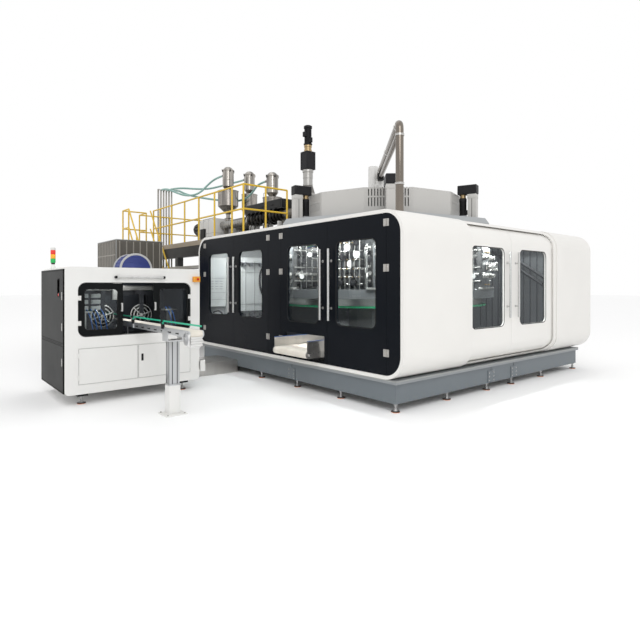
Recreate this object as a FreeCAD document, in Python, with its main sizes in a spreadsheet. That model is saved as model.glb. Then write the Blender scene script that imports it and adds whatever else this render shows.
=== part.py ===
import FreeCAD, Part
import Sketcher
import math
import os

# Rotary blow moulding machine with its extrusion platform and its trimming unit.
# Millimetres, +Z up, +X to the right along the black door front, +Y into the machine.
# Every piece is drawn in the machine frame, whose zero is the enclosure's near right
# corner on the floor, and each node's Placement then moves it to the part's own origin,
# the middle of the machine's footprint.

doc = FreeCAD.newDocument("blow_moulding_machine")
sheet = doc.addObject("Spreadsheet::Sheet", "Sizes")

SIZES = [
    # enclosure: a tunnel with large round edges, run from front to back
    ("tunnel_length", 5660, "enclosure, left to right"),
    ("tunnel_depth", 5650, "enclosure, front to back"),
    ("tunnel_bottom", 420, "floor to enclosure"),
    ("tunnel_height", 2220, "enclosure height"),
    ("tunnel_corner", 330, "radius of the four long edges"),
    ("cover_wall", 20, "moulded cover thickness"),
    ("rim_width", 50, "white rim round the black front"),
    ("rim_depth", 60, "white rim, front to back"),
    ("panel_corner", 270, "corner radius of the black front"),
    # base frame and feet
    ("base_bottom", 113, "floor to base skirt"),
    ("flange_thickness", 50, "base top flange"),
    ("flange_overhang", 35, "flange past the skirt"),
    ("base_inset_side", 170, "skirt behind the side covers"),
    ("base_inset_front", 50, "skirt behind the front"),
    ("base_inset_rear", 275, "skirt before the rear wall"),
    ("skirt_wall", 90, "base beam width"),
    ("joint_gap", 12, "open joint between base modules"),
    ("foot_pad_radius", 58, "levelling foot pad"),
    ("foot_pad_height", 22, "levelling foot pad"),
    ("foot_stud_radius", 14, "levelling foot stud"),
    # front doors
    ("end_strip", 240, "fixed strip at each end of the front"),
    ("centre_pillar", 380, "fixed pillar between the door pairs"),
    ("door_gap", 4, "gap between door leaves"),
    ("edge_gap", 6, "gap over and under a door"),
    ("leaf_thickness", 40, "door leaf"),
    ("window_height", 1200, "door window"),
    ("window_lock", 205, "window to the door's free edge"),
    ("window_bottom", 1070, "floor to window"),
    ("window_corner", 90, "window corner radius"),
    ("window_margin", 190, "hinge line to window"),
    ("pane_thickness", 6, "window pane"),
    ("pane_lap", 18, "pane past the window edge"),
    ("handle_length", 1050, "door bar handle"),
    ("handle_bottom", 1130, "floor to bar handle"),
    ("handle_radius", 18, "bar handle"),
    ("handle_standoff", 60, "leaf to bar axis"),
    ("handle_offset", 95, "seam to bar"),
    ("post_radius", 9, "handle standoff post"),
    ("hinge_plate", 96, "hinge height and width"),
    ("hinge_sheet", 5, "hinge plate thickness"),
    ("knuckle_radius", 8, "hinge barrel"),
    # scrap conveyor through door three
    ("scrap_offset", 190, "hinge line of door three to the scrap conveyor"),
    ("scrap_width", 850, "scrap conveyor width"),
    ("scrap_reach", 290, "belt nose in front of the doors"),
    ("scrap_top", 672, "floor to belt"),
    ("scrap_depth", 110, "belt loop height"),
    ("scrap_inner", 900, "belt run behind the doors"),
    ("belt_thickness", 6, "belt"),
    ("guard_height", 150, "side guard over the belt"),
    ("hatch_bottom", 500, "floor to the cut-out in door three"),
    ("hatch_height", 385, "cut-out in door three"),
    ("hatch_margin", 70, "cut-out past the belt"),
    ("side_plate", 12, "conveyor side plate"),
    ("duct_right", 4130, "low scrap duct's right side from the near corner"),
    ("duct_width", 770, "low scrap duct"),
    ("duct_height", 230, "low scrap duct"),
    # right side sliding doors
    ("front_cover_depth", 1520, "raised cover at the front"),
    ("rear_cover_depth", 1450, "raised cover at the rear"),
    ("door_recess", 50, "sliding door behind the covers"),
    ("slide_wall", 26, "sliding door thickness"),
    ("slide_seam", 2698, "seam between the sliding doors"),
    ("slide_lap", 60, "sliding door behind a cover edge"),
    ("slide_window_edge", 67, "front cover to the near window"),
    ("slide_window_seam", 221, "near window to the seam"),
    ("far_window_seam", 281, "seam to the far window"),
    ("far_window_edge", 231, "far window to the strip before the rear cover"),
    ("slide_window_bottom", 1005, "floor to side window"),
    ("slide_window_height", 1215, "side window height"),
    ("slide_handle_offset", 130, "seam to side handle"),
    ("bead_width", 100, "strip between the doors and the rear cover"),
    ("bead_inset", 15, "strip behind the rear cover"),
    ("lip_height", 80, "cover lip over and under the sliding doors"),
    ("lip_corner", 180, "corner of the sliding door opening"),
    ("slide_travel", 1000, "sliding door travel"),
    ("track_width", 30, "door track"),
    ("seat_gap", 0.3, "running clearance at a seat"),
    ("roof_hole", 1780, "roof opening under the deck, to its corners"),
    # carousel and tower
    ("centre_deep", 2590, "carousel axis, behind the front"),
    ("drum_inradius", 1575, "twelve-sided tower cover, to its flats"),
    ("drum_rise", 684, "roof to tower top"),
    ("drum_wall", 20, "tower cover sheet"),
    ("deck_reach", 2150, "six-sided deck, to its corners"),
    ("deck_rise", 220, "roof to deck"),
    ("deck_skirt", 200, "deck height"),
    ("deck_slope", 70, "deck edge slope"),
    ("deck_plate", 30, "deck sheet"),
    ("louvre_width", 17, "tower slot"),
    ("louvre_height", 150, "tower slot"),
    ("louvre_pitch", 52, "slot to slot"),
    ("louvre_set", 4, "bars between slots, behind the sheet's faces"),
    ("louvre_rise", 360, "roof to lower slot row"),
    ("louvre_step", 178, "slot row to slot row"),
    ("column_side", 150, "square lift column"),
    ("column_reach", 1860, "axis to lift column"),
    ("column_rise", 670, "roof to column top"),
    ("motor_reach", 1682, "axis to lift motor"),
    ("motor_radius", 65, "lift motor"),
    ("motor_rise", 285, "roof to lift motor"),
    ("head_length", 350, "belt housing"),
    ("head_width", 170, "belt housing"),
    ("head_height", 170, "belt housing"),
    ("table_reach", 2180, "carousel table, to its corners"),
    ("table_bottom", 1420, "floor to carousel table"),
    ("table_height", 150, "carousel table"),
    ("table_hole", 820, "hole in the table, to its corners"),
    ("pedestal_radius", 640, "carousel pedestal"),
    ("bearing_height", 60, "slewing bearing"),
    ("running_gap", 10, "between turning and fixed pieces"),
    ("platen_width", 620, "clamp platen"),
    ("platen_height", 700, "clamp platen"),
    ("platen_thickness", 80, "clamp platen"),
    ("platen_lift", 60, "table to platen"),
    ("platen_inner", 1060, "axis to the fixed platen"),
    ("mould_space", 360, "platen to platen, closed"),
    ("clamp_travel", 200, "moving platen stroke"),
    ("bridge_reach", 2010, "axis to the outer bridge"),
    ("tie_bar_radius", 28, "clamp tie bar"),
    ("tie_bar_inset", 70, "platen edge to tie bar"),
    ("bar_clearance", 0.3, "bore over tie bar"),
    ("ram_radius", 70, "clamp cylinder"),
    # pipes on the roof
    ("gantry_radius", 57, "steel pipe"),
    ("gantry_left", 540, "upright pipe from the near corner"),
    ("gantry_deep", 550, "upright pipe behind the front"),
    ("gantry_rise", 1300, "roof to the top pipe's axis"),
    ("gantry_drop", 140, "upper pipe to lower pipe"),
    ("elbow_radius", 110, "pipe elbow, to its axis"),
    ("union_radius", 80, "rotary union"),
    ("union_rise", 1120, "roof to rotary union top"),
    ("ring_radius", 103, "slip ring housing"),
    ("ring_rise", 1440, "roof to slip ring housing"),
    # extrusion head and its servo
    ("head_left", 5170, "die head from the near corner"),
    ("screw_deep", 2590, "extruder screw axis behind the front"),
    ("screw_rise", 690, "platform floor to the screw axis"),
    ("die_radius", 170, "die head"),
    ("servo_tube", 118, "servo lantern tube radius"),
    ("servo_base", 1260, "platform floor to servo lantern"),
    ("servo_box", 262, "servo gearbox side"),
    ("servo_box_base", 1640, "platform floor to servo gearbox"),
    ("servo_box_height", 430, "servo gearbox"),
    ("servo_ring", 160, "brass coupling height"),
    ("servo_rise", 2700, "platform floor to servo motor top"),
    # platform, stairs and railings
    ("floor_edge", 120, "platform edge"),
    ("floor_right", 5100, "platform's right end"),
    ("floor_left", 11400, "platform's left end"),
    ("floor_front", 750, "platform's front edge"),
    ("floor_back", 4150, "platform's rear edge"),
    ("landing_left", 10830, "landing's left end"),
    ("landing_right", 10250, "landing's right end"),
    ("landing_front", 80, "landing's front edge"),
    ("leg_side", 160, "platform leg"),
    ("beam_height", 260, "platform beam"),
    ("rail_height", 1070, "top rail over the floor"),
    ("rail_radius", 21, "railing tube"),
    ("rail_middle", 540, "middle rail over the floor"),
    ("post_pitch", 817, "railing post to post"),
    ("stair_run", 2150, "stairs, level length"),
    ("stair_steps", 12, "treads"),
    ("tread_depth", 220, "tread"),
    ("stringer_height", 180, "stair stringer"),
    ("stringer_wall", 12, "stair stringer"),
    # extruders
    ("barrel_radius", 120, "main barrel"),
    ("barrel_right", 5900, "barrel end at the head"),
    ("barrel_left", 9300, "barrel end at the gearbox"),
    ("cover_right", 6000, "long cover's right end"),
    ("cover_left", 7700, "long cover's left end"),
    ("gearbox_left", 10250, "gearbox's left end"),
    ("gearbox_height", 900, "gearbox"),
    ("gearbox_width", 620, "gearbox"),
    ("drive_radius", 210, "extruder motor"),
    ("drive_length", 650, "extruder motor"),
    ("guard_pitch", 150, "heat guard to heat guard"),
    # hoppers and loaders
    ("hopper_wall", 3, "hopper sheet"),
    ("hopper_one_left", 9000, "first hopper"),
    ("hopper_one_radius", 300, "first hopper"),
    ("hopper_one_rise", 1680, "platform floor to first hopper's rim"),
    ("hopper_three_left", 7400, "third hopper"),
    ("hopper_three_radius", 265, "third hopper"),
    ("hopper_three_rise", 1320, "platform floor to third hopper's rim"),
    ("second_line", 500, "second screw behind the first"),
    ("loader_radius", 165, "vacuum loader"),
    ("loader_height", 480, "vacuum loader body"),
    ("inlet_radius", 34, "loader inlet"),
    # conveying pipes and hoses
    ("pipe_left", 11460, "conveying pipes"),
    ("pipe_deep", 1430, "first conveying pipe"),
    ("pipe_pitch", 90, "pipe to pipe"),
    ("pipe_radius", 26, "conveying pipe"),
    ("pipe_rise", 1980, "platform floor to pipe tops"),
    ("hose_radius", 30, "conveying hose"),
    # trimming unit
    ("trim_right", 3220, "trimming unit's face from the near corner"),
    ("trim_depth", 1400, "trimming unit, along the machine"),
    ("trim_near", 3140, "trimming unit's black side before the front"),
    ("trim_width", 1960, "trimming unit, across"),
    ("trim_bottom", 150, "floor to trimming unit"),
    ("trim_height", 1750, "trimming unit height"),
    ("trim_corner", 60, "trimming unit edge radius"),
    ("trim_wall", 25, "trimming unit wall"),
    ("field_start", 174, "side edge to window doors"),
    ("field_width", 1626, "window doors and their opening"),
    ("field_bottom", 940, "floor to window doors"),
    ("field_height", 737, "window doors"),
    ("field_corner", 100, "window doors' corner"),
    ("near_leaf", 593, "near window door"),
    ("far_leaf", 585, "far window door"),
    ("trim_leaf", 18, "trimming door thickness"),
    ("trim_window", 440, "trimming window"),
    ("carriage_width", 1240, "trimming carriage"),
    ("carriage_rise", 640, "inner shelf to the carriage's beam"),
    ("trim_hinge", 64, "trimming unit hinge height and width"),
    ("lower_bottom", 277, "floor to lower doors"),
    ("lower_height", 502, "lower doors"),
    ("lower_near", 816, "near lower door"),
    ("lower_far", 821, "far lower door"),
    ("side_seam", 840, "floor to the black side's seam"),
    ("stop_radius", 20, "emergency stop button"),
    ("stop_travel", 6, "emergency stop travel"),
    # outlet conveyor
    ("outlet_deep", 2150, "outlet belt axis before the front"),
    ("outlet_width", 160, "outlet belt"),
    ("outlet_top", 1110, "floor to outlet belt"),
    ("outlet_end", 1310, "outlet nose from the near corner"),
    ("outlet_start", 4100, "outlet belt inside the unit"),
    ("guide_end", 1000, "green guide's end"),
    ("stand_left", 2000, "outlet stand"),
    ("stand_base", 280, "outlet stand plate"),
    ("stand_lower", 380, "floor to stand joint"),
    # granulator and its lift conveyor
    ("lift_left", 7070, "lift conveyor axis"),
    ("lift_near", 900, "lift head before the front"),
    ("lift_width", 420, "lift belt"),
    ("lift_drum", 330, "lift head radius"),
    ("lift_height", 1990, "floor to lift head axis"),
    ("mill_top", 2700, "floor to granulator hopper"),
]

for row, (alias, value, note) in enumerate(SIZES, start=1):
    sheet.set(f"A{row}", note)
    sheet.set(f"B{row}", str(value))
    sheet.setAlias(f"B{row}", alias)
doc.recompute()


class Size:
    """A length that knows both its value and the sheet expression it came from."""

    def __init__(self, value, text):
        self.value = float(value)
        self.text = text

    def __add__(self, other):
        other = as_size(other)
        return Size(self.value + other.value, f"({self.text} + {other.text})")

    def __radd__(self, other):
        return as_size(other) + self

    def __sub__(self, other):
        other = as_size(other)
        return Size(self.value - other.value, f"({self.text} - {other.text})")

    def __rsub__(self, other):
        return as_size(other) - self

    def __mul__(self, factor):
        return Size(self.value * factor, f"({self.text} * {factor:.9g})")

    __rmul__ = __mul__

    def __truediv__(self, divisor):
        return Size(self.value / divisor, f"({self.text} / {divisor:.9g})")

    def __neg__(self):
        return self * -1


def as_size(number):
    return number if isinstance(number, Size) else Size(number, f"({float(number):.9g})")


class Sheet:
    """The sheet's cells as Size values: S.door_gap, S.rim_width and so on."""


S = Sheet()
for alias, _, _ in SIZES:
    setattr(S, alias, Size(sheet.get(alias), f"Sizes.{alias}"))


def bind(obj, prop, size):
    """Tie one property of a document object to the sheet."""
    obj.setExpression(prop, as_size(size).text)


def place(obj, x, y, z, axis=None, angle=0.0):
    """Put an object at a point of its frame, turned by a fixed angle about an axis."""
    if axis:
        turn = FreeCAD.Rotation(FreeCAD.Vector(*axis), angle)
        obj.Placement = FreeCAD.Placement(FreeCAD.Vector(0, 0, 0), turn)
    bind(obj, "Placement.Base.x", x)
    bind(obj, "Placement.Base.y", y)
    bind(obj, "Placement.Base.z", z)
    return obj


FINE = 6           # sides of thin round pieces that repeat
ROUND = 12         # sides of larger round pieces
AXES = {"x": ((0, 1, 0), 90), "y": ((1, 0, 0), -90), "z": ((0, 0, 1), 0)}


def box(x, y, z, length, width, height):
    obj = doc.addObject("Part::Box", "Block")
    bind(obj, "Length", length)
    bind(obj, "Width", width)
    bind(obj, "Height", height)
    return place(obj, x, y, z)


def rod(x, y, z, radius, length, along="z", sides=ROUND):
    """A bar that starts at the point and runs along +x, +y or +z, with as many sides."""
    return prism(x, y, z, sides, radius, length, along=along)


def cone(x, y, z, reach_start, reach_end, height, sides=ROUND, turn=0.0):
    """An upright frustum between two regular polygons, each given centre to corner."""
    turns = [math.radians(turn) + 2 * math.pi * i / sides for i in range(sides)]
    low, high = ([FreeCAD.Vector(as_size(reach).value * math.cos(a),
                                 as_size(reach).value * math.sin(a), as_size(level).value)
                  for a in turns] for reach, level in ((reach_start, 0), (reach_end, height)))
    loops = [low, high]
    loops += [[low[i - 1], low[i], high[i], high[i - 1]] for i in range(sides)]
    solid = Part.Solid(Part.Shell([Part.Face(Part.makePolygon(loop + loop[:1]))
                                   for loop in loops]))
    if solid.Volume < 0:
        solid.reverse()
    obj = doc.addObject("Part::Feature", "Cone")
    obj.Shape = solid
    return place(obj, x, y, z)


def prism(x, y, z, sides, reach, height, turn=0.0, along="z"):
    """A regular prism, reach being its centre to a corner."""
    obj = doc.addObject("Part::Prism", "Prism")
    obj.Polygon = sides
    bind(obj, "Circumradius", reach)
    bind(obj, "Height", height)
    axis, angle = ((0, 0, 1), turn) if along == "z" else AXES[along]
    return place(obj, x, y, z, axis, angle)


def fuse(*parts):
    obj = doc.addObject("Part::MultiFuse", "Joined")
    obj.Shapes = list(parts)
    obj.Refine = True
    return obj


def group(*parts):
    obj = doc.addObject("Part::Compound", "Group")
    obj.Links = list(parts)
    return obj


def cut(base, *tools):
    obj = doc.addObject("Part::Cut", "Cut")
    obj.Base = base
    obj.Tool = tools[0] if len(tools) == 1 else group(*tools)
    obj.Refine = True
    return obj


def common(base, tool):
    obj = doc.addObject("Part::Common", "Kept")
    obj.Base = base
    obj.Tool = tool
    obj.Refine = True
    return obj


def plain_rectangle(sketch, x, z, width, height):
    """A sharp rectangle in a sketch, every size tied to the sheet."""
    x, z, width, height = map(as_size, (x, z, width, height))
    left, low = x.value, z.value
    right, high = left + width.value, low + height.value
    points = [(left, low), (right, low), (right, high), (left, high)]
    first = sketch.GeometryCount
    for start, end in zip(points, points[1:] + points[:1]):
        sketch.addGeometry(Part.LineSegment(FreeCAD.Vector(*start, 0),
                                            FreeCAD.Vector(*end, 0)), False)
    bottom, rightside, top, leftside = range(first, first + 4)
    add = sketch.addConstraint
    for i in range(4):
        add(Sketcher.Constraint("Coincident", first + i, 2, first + (i + 1) % 4, 1))
    for line in (bottom, top):
        add(Sketcher.Constraint("Horizontal", line))
    for line in (rightside, leftside):
        add(Sketcher.Constraint("Vertical", line))
    for kind, args, size in [("DistanceX", (-1, 1, bottom, 1), x),
                             ("DistanceY", (-1, 1, bottom, 1), z),
                             ("DistanceX", (bottom, 1, bottom, 2), width),
                             ("DistanceY", (rightside, 1, rightside, 2), height)]:
        index = add(Sketcher.Constraint(kind, *args, size.value))
        sketch.setExpression(f"Constraints[{index}]", size.text)


def rounded_rectangle(sketch, x, z, width, height, radius=None):
    """A rounded rectangle in a sketch, every size tied to the sheet; sharp without a radius."""
    if radius is None:
        return plain_rectangle(sketch, x, z, width, height)
    x, z, width, height, radius = map(as_size, (x, z, width, height, radius))
    left, low = x.value, z.value
    right, high, r = left + width.value, low + height.value, radius.value
    up = FreeCAD.Vector(0, 0, 1)

    def vec(px, py):
        return FreeCAD.Vector(px, py, 0)

    sides = [((left + r, low), (right - r, low)), ((right, low + r), (right, high - r)),
             ((right - r, high), (left + r, high)), ((left, high - r), (left, low + r))]
    corners = [(right - r, low + r, 270), (right - r, high - r, 0),
               (left + r, high - r, 90), (left + r, low + r, 180)]
    first = sketch.GeometryCount
    for start, end in sides:
        sketch.addGeometry(Part.LineSegment(vec(*start), vec(*end)), False)
    for cx, cy, start in corners:
        circle = Part.Circle(vec(cx, cy), up, r)
        a0 = math.radians(start)
        sketch.addGeometry(Part.ArcOfCircle(circle, a0, a0 + math.pi / 2), False)
    bottom, rightside, top, leftside = range(first, first + 4)
    arcs = range(first + 4, first + 8)
    add = sketch.addConstraint
    for i in range(4):
        side, after = first + i, first + (i + 1) % 4
        add(Sketcher.Constraint("Tangent", side, 2, arcs[i], 1))
        add(Sketcher.Constraint("Tangent", arcs[i], 2, after, 1))
    for i in range(1, 4):
        add(Sketcher.Constraint("Equal", arcs[0], arcs[i]))
    add(Sketcher.Constraint("Horizontal", bottom))
    add(Sketcher.Constraint("Vertical", rightside))
    for kind, args, size in [("Radius", (arcs[0],), radius),
                             ("DistanceX", (-1, 1, leftside, 1), x),
                             ("DistanceY", (-1, 1, bottom, 1), z),
                             ("DistanceX", (leftside, 1, rightside, 1), width),
                             ("DistanceY", (bottom, 1, top, 1), height)]:
        index = add(Sketcher.Constraint(kind, *args, size.value))
        sketch.setExpression(f"Constraints[{index}]", size.text)


PLANES = {"xz": "XZ_Plane", "yz": "YZ_Plane", "xy": "XY_Plane"}


def plate(plane, x, y, z, thickness, outline, holes=()):
    """A padded sketch of rounded rectangles: outline and holes are (u, v, width, height, radius)
    from the point; an xz plate runs toward +y, a yz plate toward +x, an xy plate toward +z."""
    body = doc.addObject("PartDesign::Body", "Plate")
    sketch = body.newObject("Sketcher::SketchObject", "Outline")
    face = next(f for f in body.Origin.OriginFeatures if f.Role == PLANES[plane])
    sketch.AttachmentSupport = (face, [""])
    sketch.MapMode = "FlatFace"
    for loop in (outline, *holes):
        rounded_rectangle(sketch, *loop)
    pad = body.newObject("PartDesign::Pad", "Pad")
    pad.Profile = sketch
    bind(pad, "Length", thickness)
    pad.Reversed = plane == "xz"
    sketch.Visibility = False
    return place(body, x, y, z)


NODES = []

# the part's own origin: the middle of the footprint, on the floor
FOOTPRINT_LEFT = S.pipe_left + S.pipe_radius
FOOTPRINT_RIGHT = S.handle_standoff + S.handle_radius - S.door_recess
FOOTPRINT_NEAR = S.trim_near + S.trim_leaf
FOOTPRINT_FAR = S.tunnel_depth
SHIFT_X = (FOOTPRINT_LEFT - FOOTPRINT_RIGHT) / 2
SHIFT_Y = (FOOTPRINT_NEAR - FOOTPRINT_FAR) / 2


def node(label, *parts):
    """One named sub-part: its pieces, grouped and moved to the part's own frame."""
    obj = group(*parts)
    obj.Label = label
    place(obj, SHIFT_X, SHIFT_Y, 0)
    NODES.append(obj)
    return obj


# ---- enclosure -------------------------------------------------------------------------
LEFT = -S.tunnel_length
TOP = S.tunnel_bottom + S.tunnel_height
SIDE_SPLIT = S.tunnel_corner + 40
CENTRE_X = -S.tunnel_length / 2
CENTRE_Y = S.centre_deep
# the platform reaches over the enclosure and lies on its roof
FLOOR_LOW = TOP + S.seat_gap
FLOOR_TOP = FLOOR_LOW + S.floor_edge
SCREW_Z = FLOOR_TOP + S.screw_rise
SERVO_BASE = FLOOR_TOP + S.servo_base
SERVO_BOX = FLOOR_TOP + S.servo_box_base
DECK_TOP = TOP + S.deck_rise
DRUM_TOP = TOP + S.drum_rise
COLUMN_TOP = TOP + S.column_rise
MOTOR_BOTTOM = TOP + S.motor_rise
GANTRY_TOP = TOP + S.gantry_rise
UNION_TOP = TOP + S.union_rise
REAR_COVER = S.tunnel_depth - S.rear_cover_depth
BEAD = REAR_COVER - S.bead_width


def profile(inset):
    """The tunnel's rounded outline, drawn smaller by an inset, for a plate at its corner."""
    return (inset, inset, S.tunnel_length - 2 * inset, S.tunnel_height - 2 * inset,
            S.tunnel_corner - inset)


def tunnel_ring(outer, inner, start, end):
    """A length of the tunnel's wall between two insets of its outline."""
    return plate("xz", LEFT, start, S.tunnel_bottom, end - start,
                 profile(outer), [profile(inner)])


def right_part(start, end):
    """The block that holds the tunnel's right side between two depths."""
    return box(-SIDE_SPLIT, start, S.tunnel_bottom, SIDE_SPLIT, end - start, S.tunnel_height)


NO_INSET = as_size(0)
PANEL = (S.rim_width, S.rim_width, S.tunnel_length - 2 * S.rim_width,
         S.tunnel_height - 2 * S.rim_width, S.panel_corner)


def front_rim():
    return plate("xz", LEFT, 0, S.tunnel_bottom, S.rim_depth, profile(NO_INSET), [PANEL])


def main_cover():
    """Roof, left side, floor pan and rear wall, with the door tracks on roof and pan."""
    skin = tunnel_ring(NO_INSET, S.cover_wall, S.rim_depth, S.tunnel_depth - S.cover_wall)
    rear = plate("xz", LEFT, S.tunnel_depth - S.cover_wall, S.tunnel_bottom, S.cover_wall,
                 profile(NO_INSET))
    side = right_part(S.rim_depth, S.tunnel_depth - S.cover_wall)
    deck_hole = prism(CENTRE_X, CENTRE_Y, TOP - 2 * S.cover_wall, 12, S.roof_hole,
                      3 * S.cover_wall)
    head_hole = prism(-S.head_left, S.screw_deep, TOP - 2 * S.cover_wall, 12,
                      S.die_radius + S.cover_wall, 3 * S.cover_wall)
    pan = box(-SIDE_SPLIT, S.rim_depth, S.tunnel_bottom, S.track_width,
              S.tunnel_depth - S.cover_wall - S.rim_depth,
              S.door_recess - S.seat_gap)
    ceiling = box(-SIDE_SPLIT, S.rim_depth, TOP - S.door_recess + S.seat_gap, S.track_width,
                  S.tunnel_depth - S.cover_wall - S.rim_depth,
                  S.door_recess - S.seat_gap)
    return fuse(cut(skin, side, deck_hole, head_hole), rear, pan, ceiling)


def right_cover(start, end):
    outside = right_part(start, end)
    inside = box(-SIDE_SPLIT, start, S.tunnel_bottom, S.track_width, end - start,
                 S.tunnel_height)
    return common(tunnel_ring(NO_INSET, S.cover_wall, start, end), cut(outside, inside))


def door_frame():
    """The strip behind the rear cover, and the lips over and under the sliding doors."""
    start = S.front_cover_depth
    ring = tunnel_ring(S.bead_inset, S.bead_inset + S.cover_wall, start, REAR_COVER)
    opening = plate("yz", -SIDE_SPLIT, start - 2 * S.lip_corner,
                    S.tunnel_bottom + S.lip_height, SIDE_SPLIT,
                    (0, 0, BEAD - start + 2 * S.lip_corner,
                     S.tunnel_height - 2 * S.lip_height, S.lip_corner))
    keep = box(S.track_width - SIDE_SPLIT, start, S.tunnel_bottom,
               SIDE_SPLIT - S.track_width, REAR_COVER - start, S.tunnel_height)
    step = common(tunnel_ring(NO_INSET, S.bead_inset + S.cover_wall, REAR_COVER,
                              REAR_COVER + S.cover_wall),
                  box(S.track_width - SIDE_SPLIT, REAR_COVER, S.tunnel_bottom,
                      SIDE_SPLIT - S.track_width, S.cover_wall, S.tunnel_height))
    return fuse(cut(common(ring, keep), opening), step)


node("front_rim", front_rim())
node("main_cover", main_cover())
node("right_front_cover", right_cover(S.rim_depth, S.front_cover_depth))
node("right_rear_cover", fuse(door_frame(),
                              right_cover(REAR_COVER, S.tunnel_depth - S.cover_wall)))


# ---- base and feet ---------------------------------------------------------------------
BASE_LEFT = LEFT + S.base_inset_side
BASE_LENGTH = S.tunnel_length - 2 * S.base_inset_side
BASE_DEPTH = S.tunnel_depth - S.base_inset_front - S.base_inset_rear
SKIRT_HEIGHT = S.tunnel_bottom - S.flange_thickness - S.base_bottom
MODULE_FRONT = 0.42      # module joint along the front, share of the length from the right
MODULE_SIDE = (0.42, 0.55)
TABLE_TOP = S.table_bottom + S.table_height


def base_frame():
    """Welded skirt of beams under a flange, cross beams, and the carousel's pedestal."""
    flange = cut(box(BASE_LEFT - S.flange_overhang, S.base_inset_front - S.flange_overhang,
                     S.tunnel_bottom - S.flange_thickness,
                     BASE_LENGTH + 2 * S.flange_overhang, BASE_DEPTH + 2 * S.flange_overhang,
                     S.flange_thickness),
                 box(BASE_LEFT + 2 * S.skirt_wall, S.base_inset_front + 2 * S.skirt_wall,
                     S.tunnel_bottom - S.flange_thickness, BASE_LENGTH - 4 * S.skirt_wall,
                     BASE_DEPTH - 4 * S.skirt_wall, S.flange_thickness))
    skirt = cut(box(BASE_LEFT, S.base_inset_front, S.base_bottom, BASE_LENGTH, BASE_DEPTH,
                    SKIRT_HEIGHT),
                box(BASE_LEFT + S.skirt_wall, S.base_inset_front + S.skirt_wall,
                    S.base_bottom, BASE_LENGTH - 2 * S.skirt_wall,
                    BASE_DEPTH - 2 * S.skirt_wall, SKIRT_HEIGHT))
    joints = [box(BASE_LEFT + BASE_LENGTH * (1 - MODULE_FRONT), S.base_inset_front,
                  S.base_bottom, S.joint_gap, BASE_DEPTH, SKIRT_HEIGHT)]
    joints += [box(BASE_LEFT, S.base_inset_front + BASE_DEPTH * share, S.base_bottom,
                   BASE_LENGTH, S.joint_gap, SKIRT_HEIGHT) for share in MODULE_SIDE]
    beams = [box(BASE_LEFT, S.centre_deep + side * S.pedestal_radius - S.skirt_wall / 2,
                 S.tunnel_bottom - S.flange_thickness - S.skirt_wall, BASE_LENGTH,
                 S.skirt_wall, S.skirt_wall + S.flange_thickness) for side in (-1, 1)]
    bearing = prism(CENTRE_X, CENTRE_Y, S.table_bottom - S.bearing_height, 12,
                    S.pedestal_radius + S.bearing_height, S.bearing_height - S.seat_gap)
    pedestal = prism(CENTRE_X, CENTRE_Y, S.tunnel_bottom + S.cover_wall, 12,
                     S.pedestal_radius,
                     S.table_bottom - S.bearing_height - S.tunnel_bottom - S.cover_wall)
    return group(fuse(cut(skirt, *joints), flange, *beams), fuse(pedestal, bearing))


def foot(x, y, carried):
    """A levelling foot: pad and stud, up to the height that it carries."""
    return fuse(rod(x, y, 0, S.foot_pad_radius, S.foot_pad_height, sides=FINE),
                rod(x, y, S.foot_pad_height, S.foot_stud_radius,
                    carried - S.foot_pad_height, sides=FINE))


FEET_ACROSS = 6
FOOT_PITCH = (BASE_LENGTH - S.skirt_wall) / (FEET_ACROSS - 1)
SIDE_FEET = (0.215, 0.41, 0.55, 0.743)
TRIM_FEET_INSET = 120


def levelling_feet():
    half = S.skirt_wall / 2
    near, far = S.base_inset_front + half, S.base_inset_front + BASE_DEPTH - half
    feet = [foot(BASE_LEFT + half + i * FOOT_PITCH, y, S.base_bottom)
            for i in range(FEET_ACROSS) for y in (near, far)]
    feet += [foot(x, S.base_inset_front + BASE_DEPTH * share, S.base_bottom)
             for x in (BASE_LEFT + half, BASE_LEFT + BASE_LENGTH - half)
             for share in SIDE_FEET]
    feet += [foot(x, y, S.trim_bottom)
             for x in (-S.trim_right - TRIM_FEET_INSET,
                       -S.trim_right - S.trim_depth + TRIM_FEET_INSET)
             for y in (-S.trim_near + 2 * TRIM_FEET_INSET,
                       -S.trim_near + S.trim_width - 2 * TRIM_FEET_INSET)]
    return group(*feet)


node("base_frame", base_frame())
node("levelling_feet", levelling_feet())


# ---- front doors -----------------------------------------------------------------------
# hinge lines, each with the way its leaf runs from it; the four leaves are as wide
HINGE_ONE = LEFT + S.rim_width + S.end_strip
HINGE_FOUR = -(S.rim_width + S.end_strip)
LEAF = (HINGE_FOUR - HINGE_ONE - S.centre_pillar) / 4
WINDOW_WIDTH = LEAF - S.window_margin - S.window_lock
HINGE_TWO = HINGE_ONE + 2 * LEAF
HINGE_THREE = HINGE_FOUR - 2 * LEAF
FRONT_DOORS = [(HINGE_ONE, 1), (HINGE_TWO, -1), (HINGE_THREE, 1), (HINGE_FOUR, -1)]
SCRAP_X = HINGE_THREE + S.scrap_offset
DOOR_BOTTOM = S.tunnel_bottom + S.rim_width + S.edge_gap
DOOR_HEIGHT = S.tunnel_height - 2 * S.rim_width - 2 * S.edge_gap
HINGE_HEIGHTS = (0.115, 0.64, 0.92)      # share of the door height
HANDLE_POSTS = (0.17, 0.83)              # share of the handle length


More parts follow.
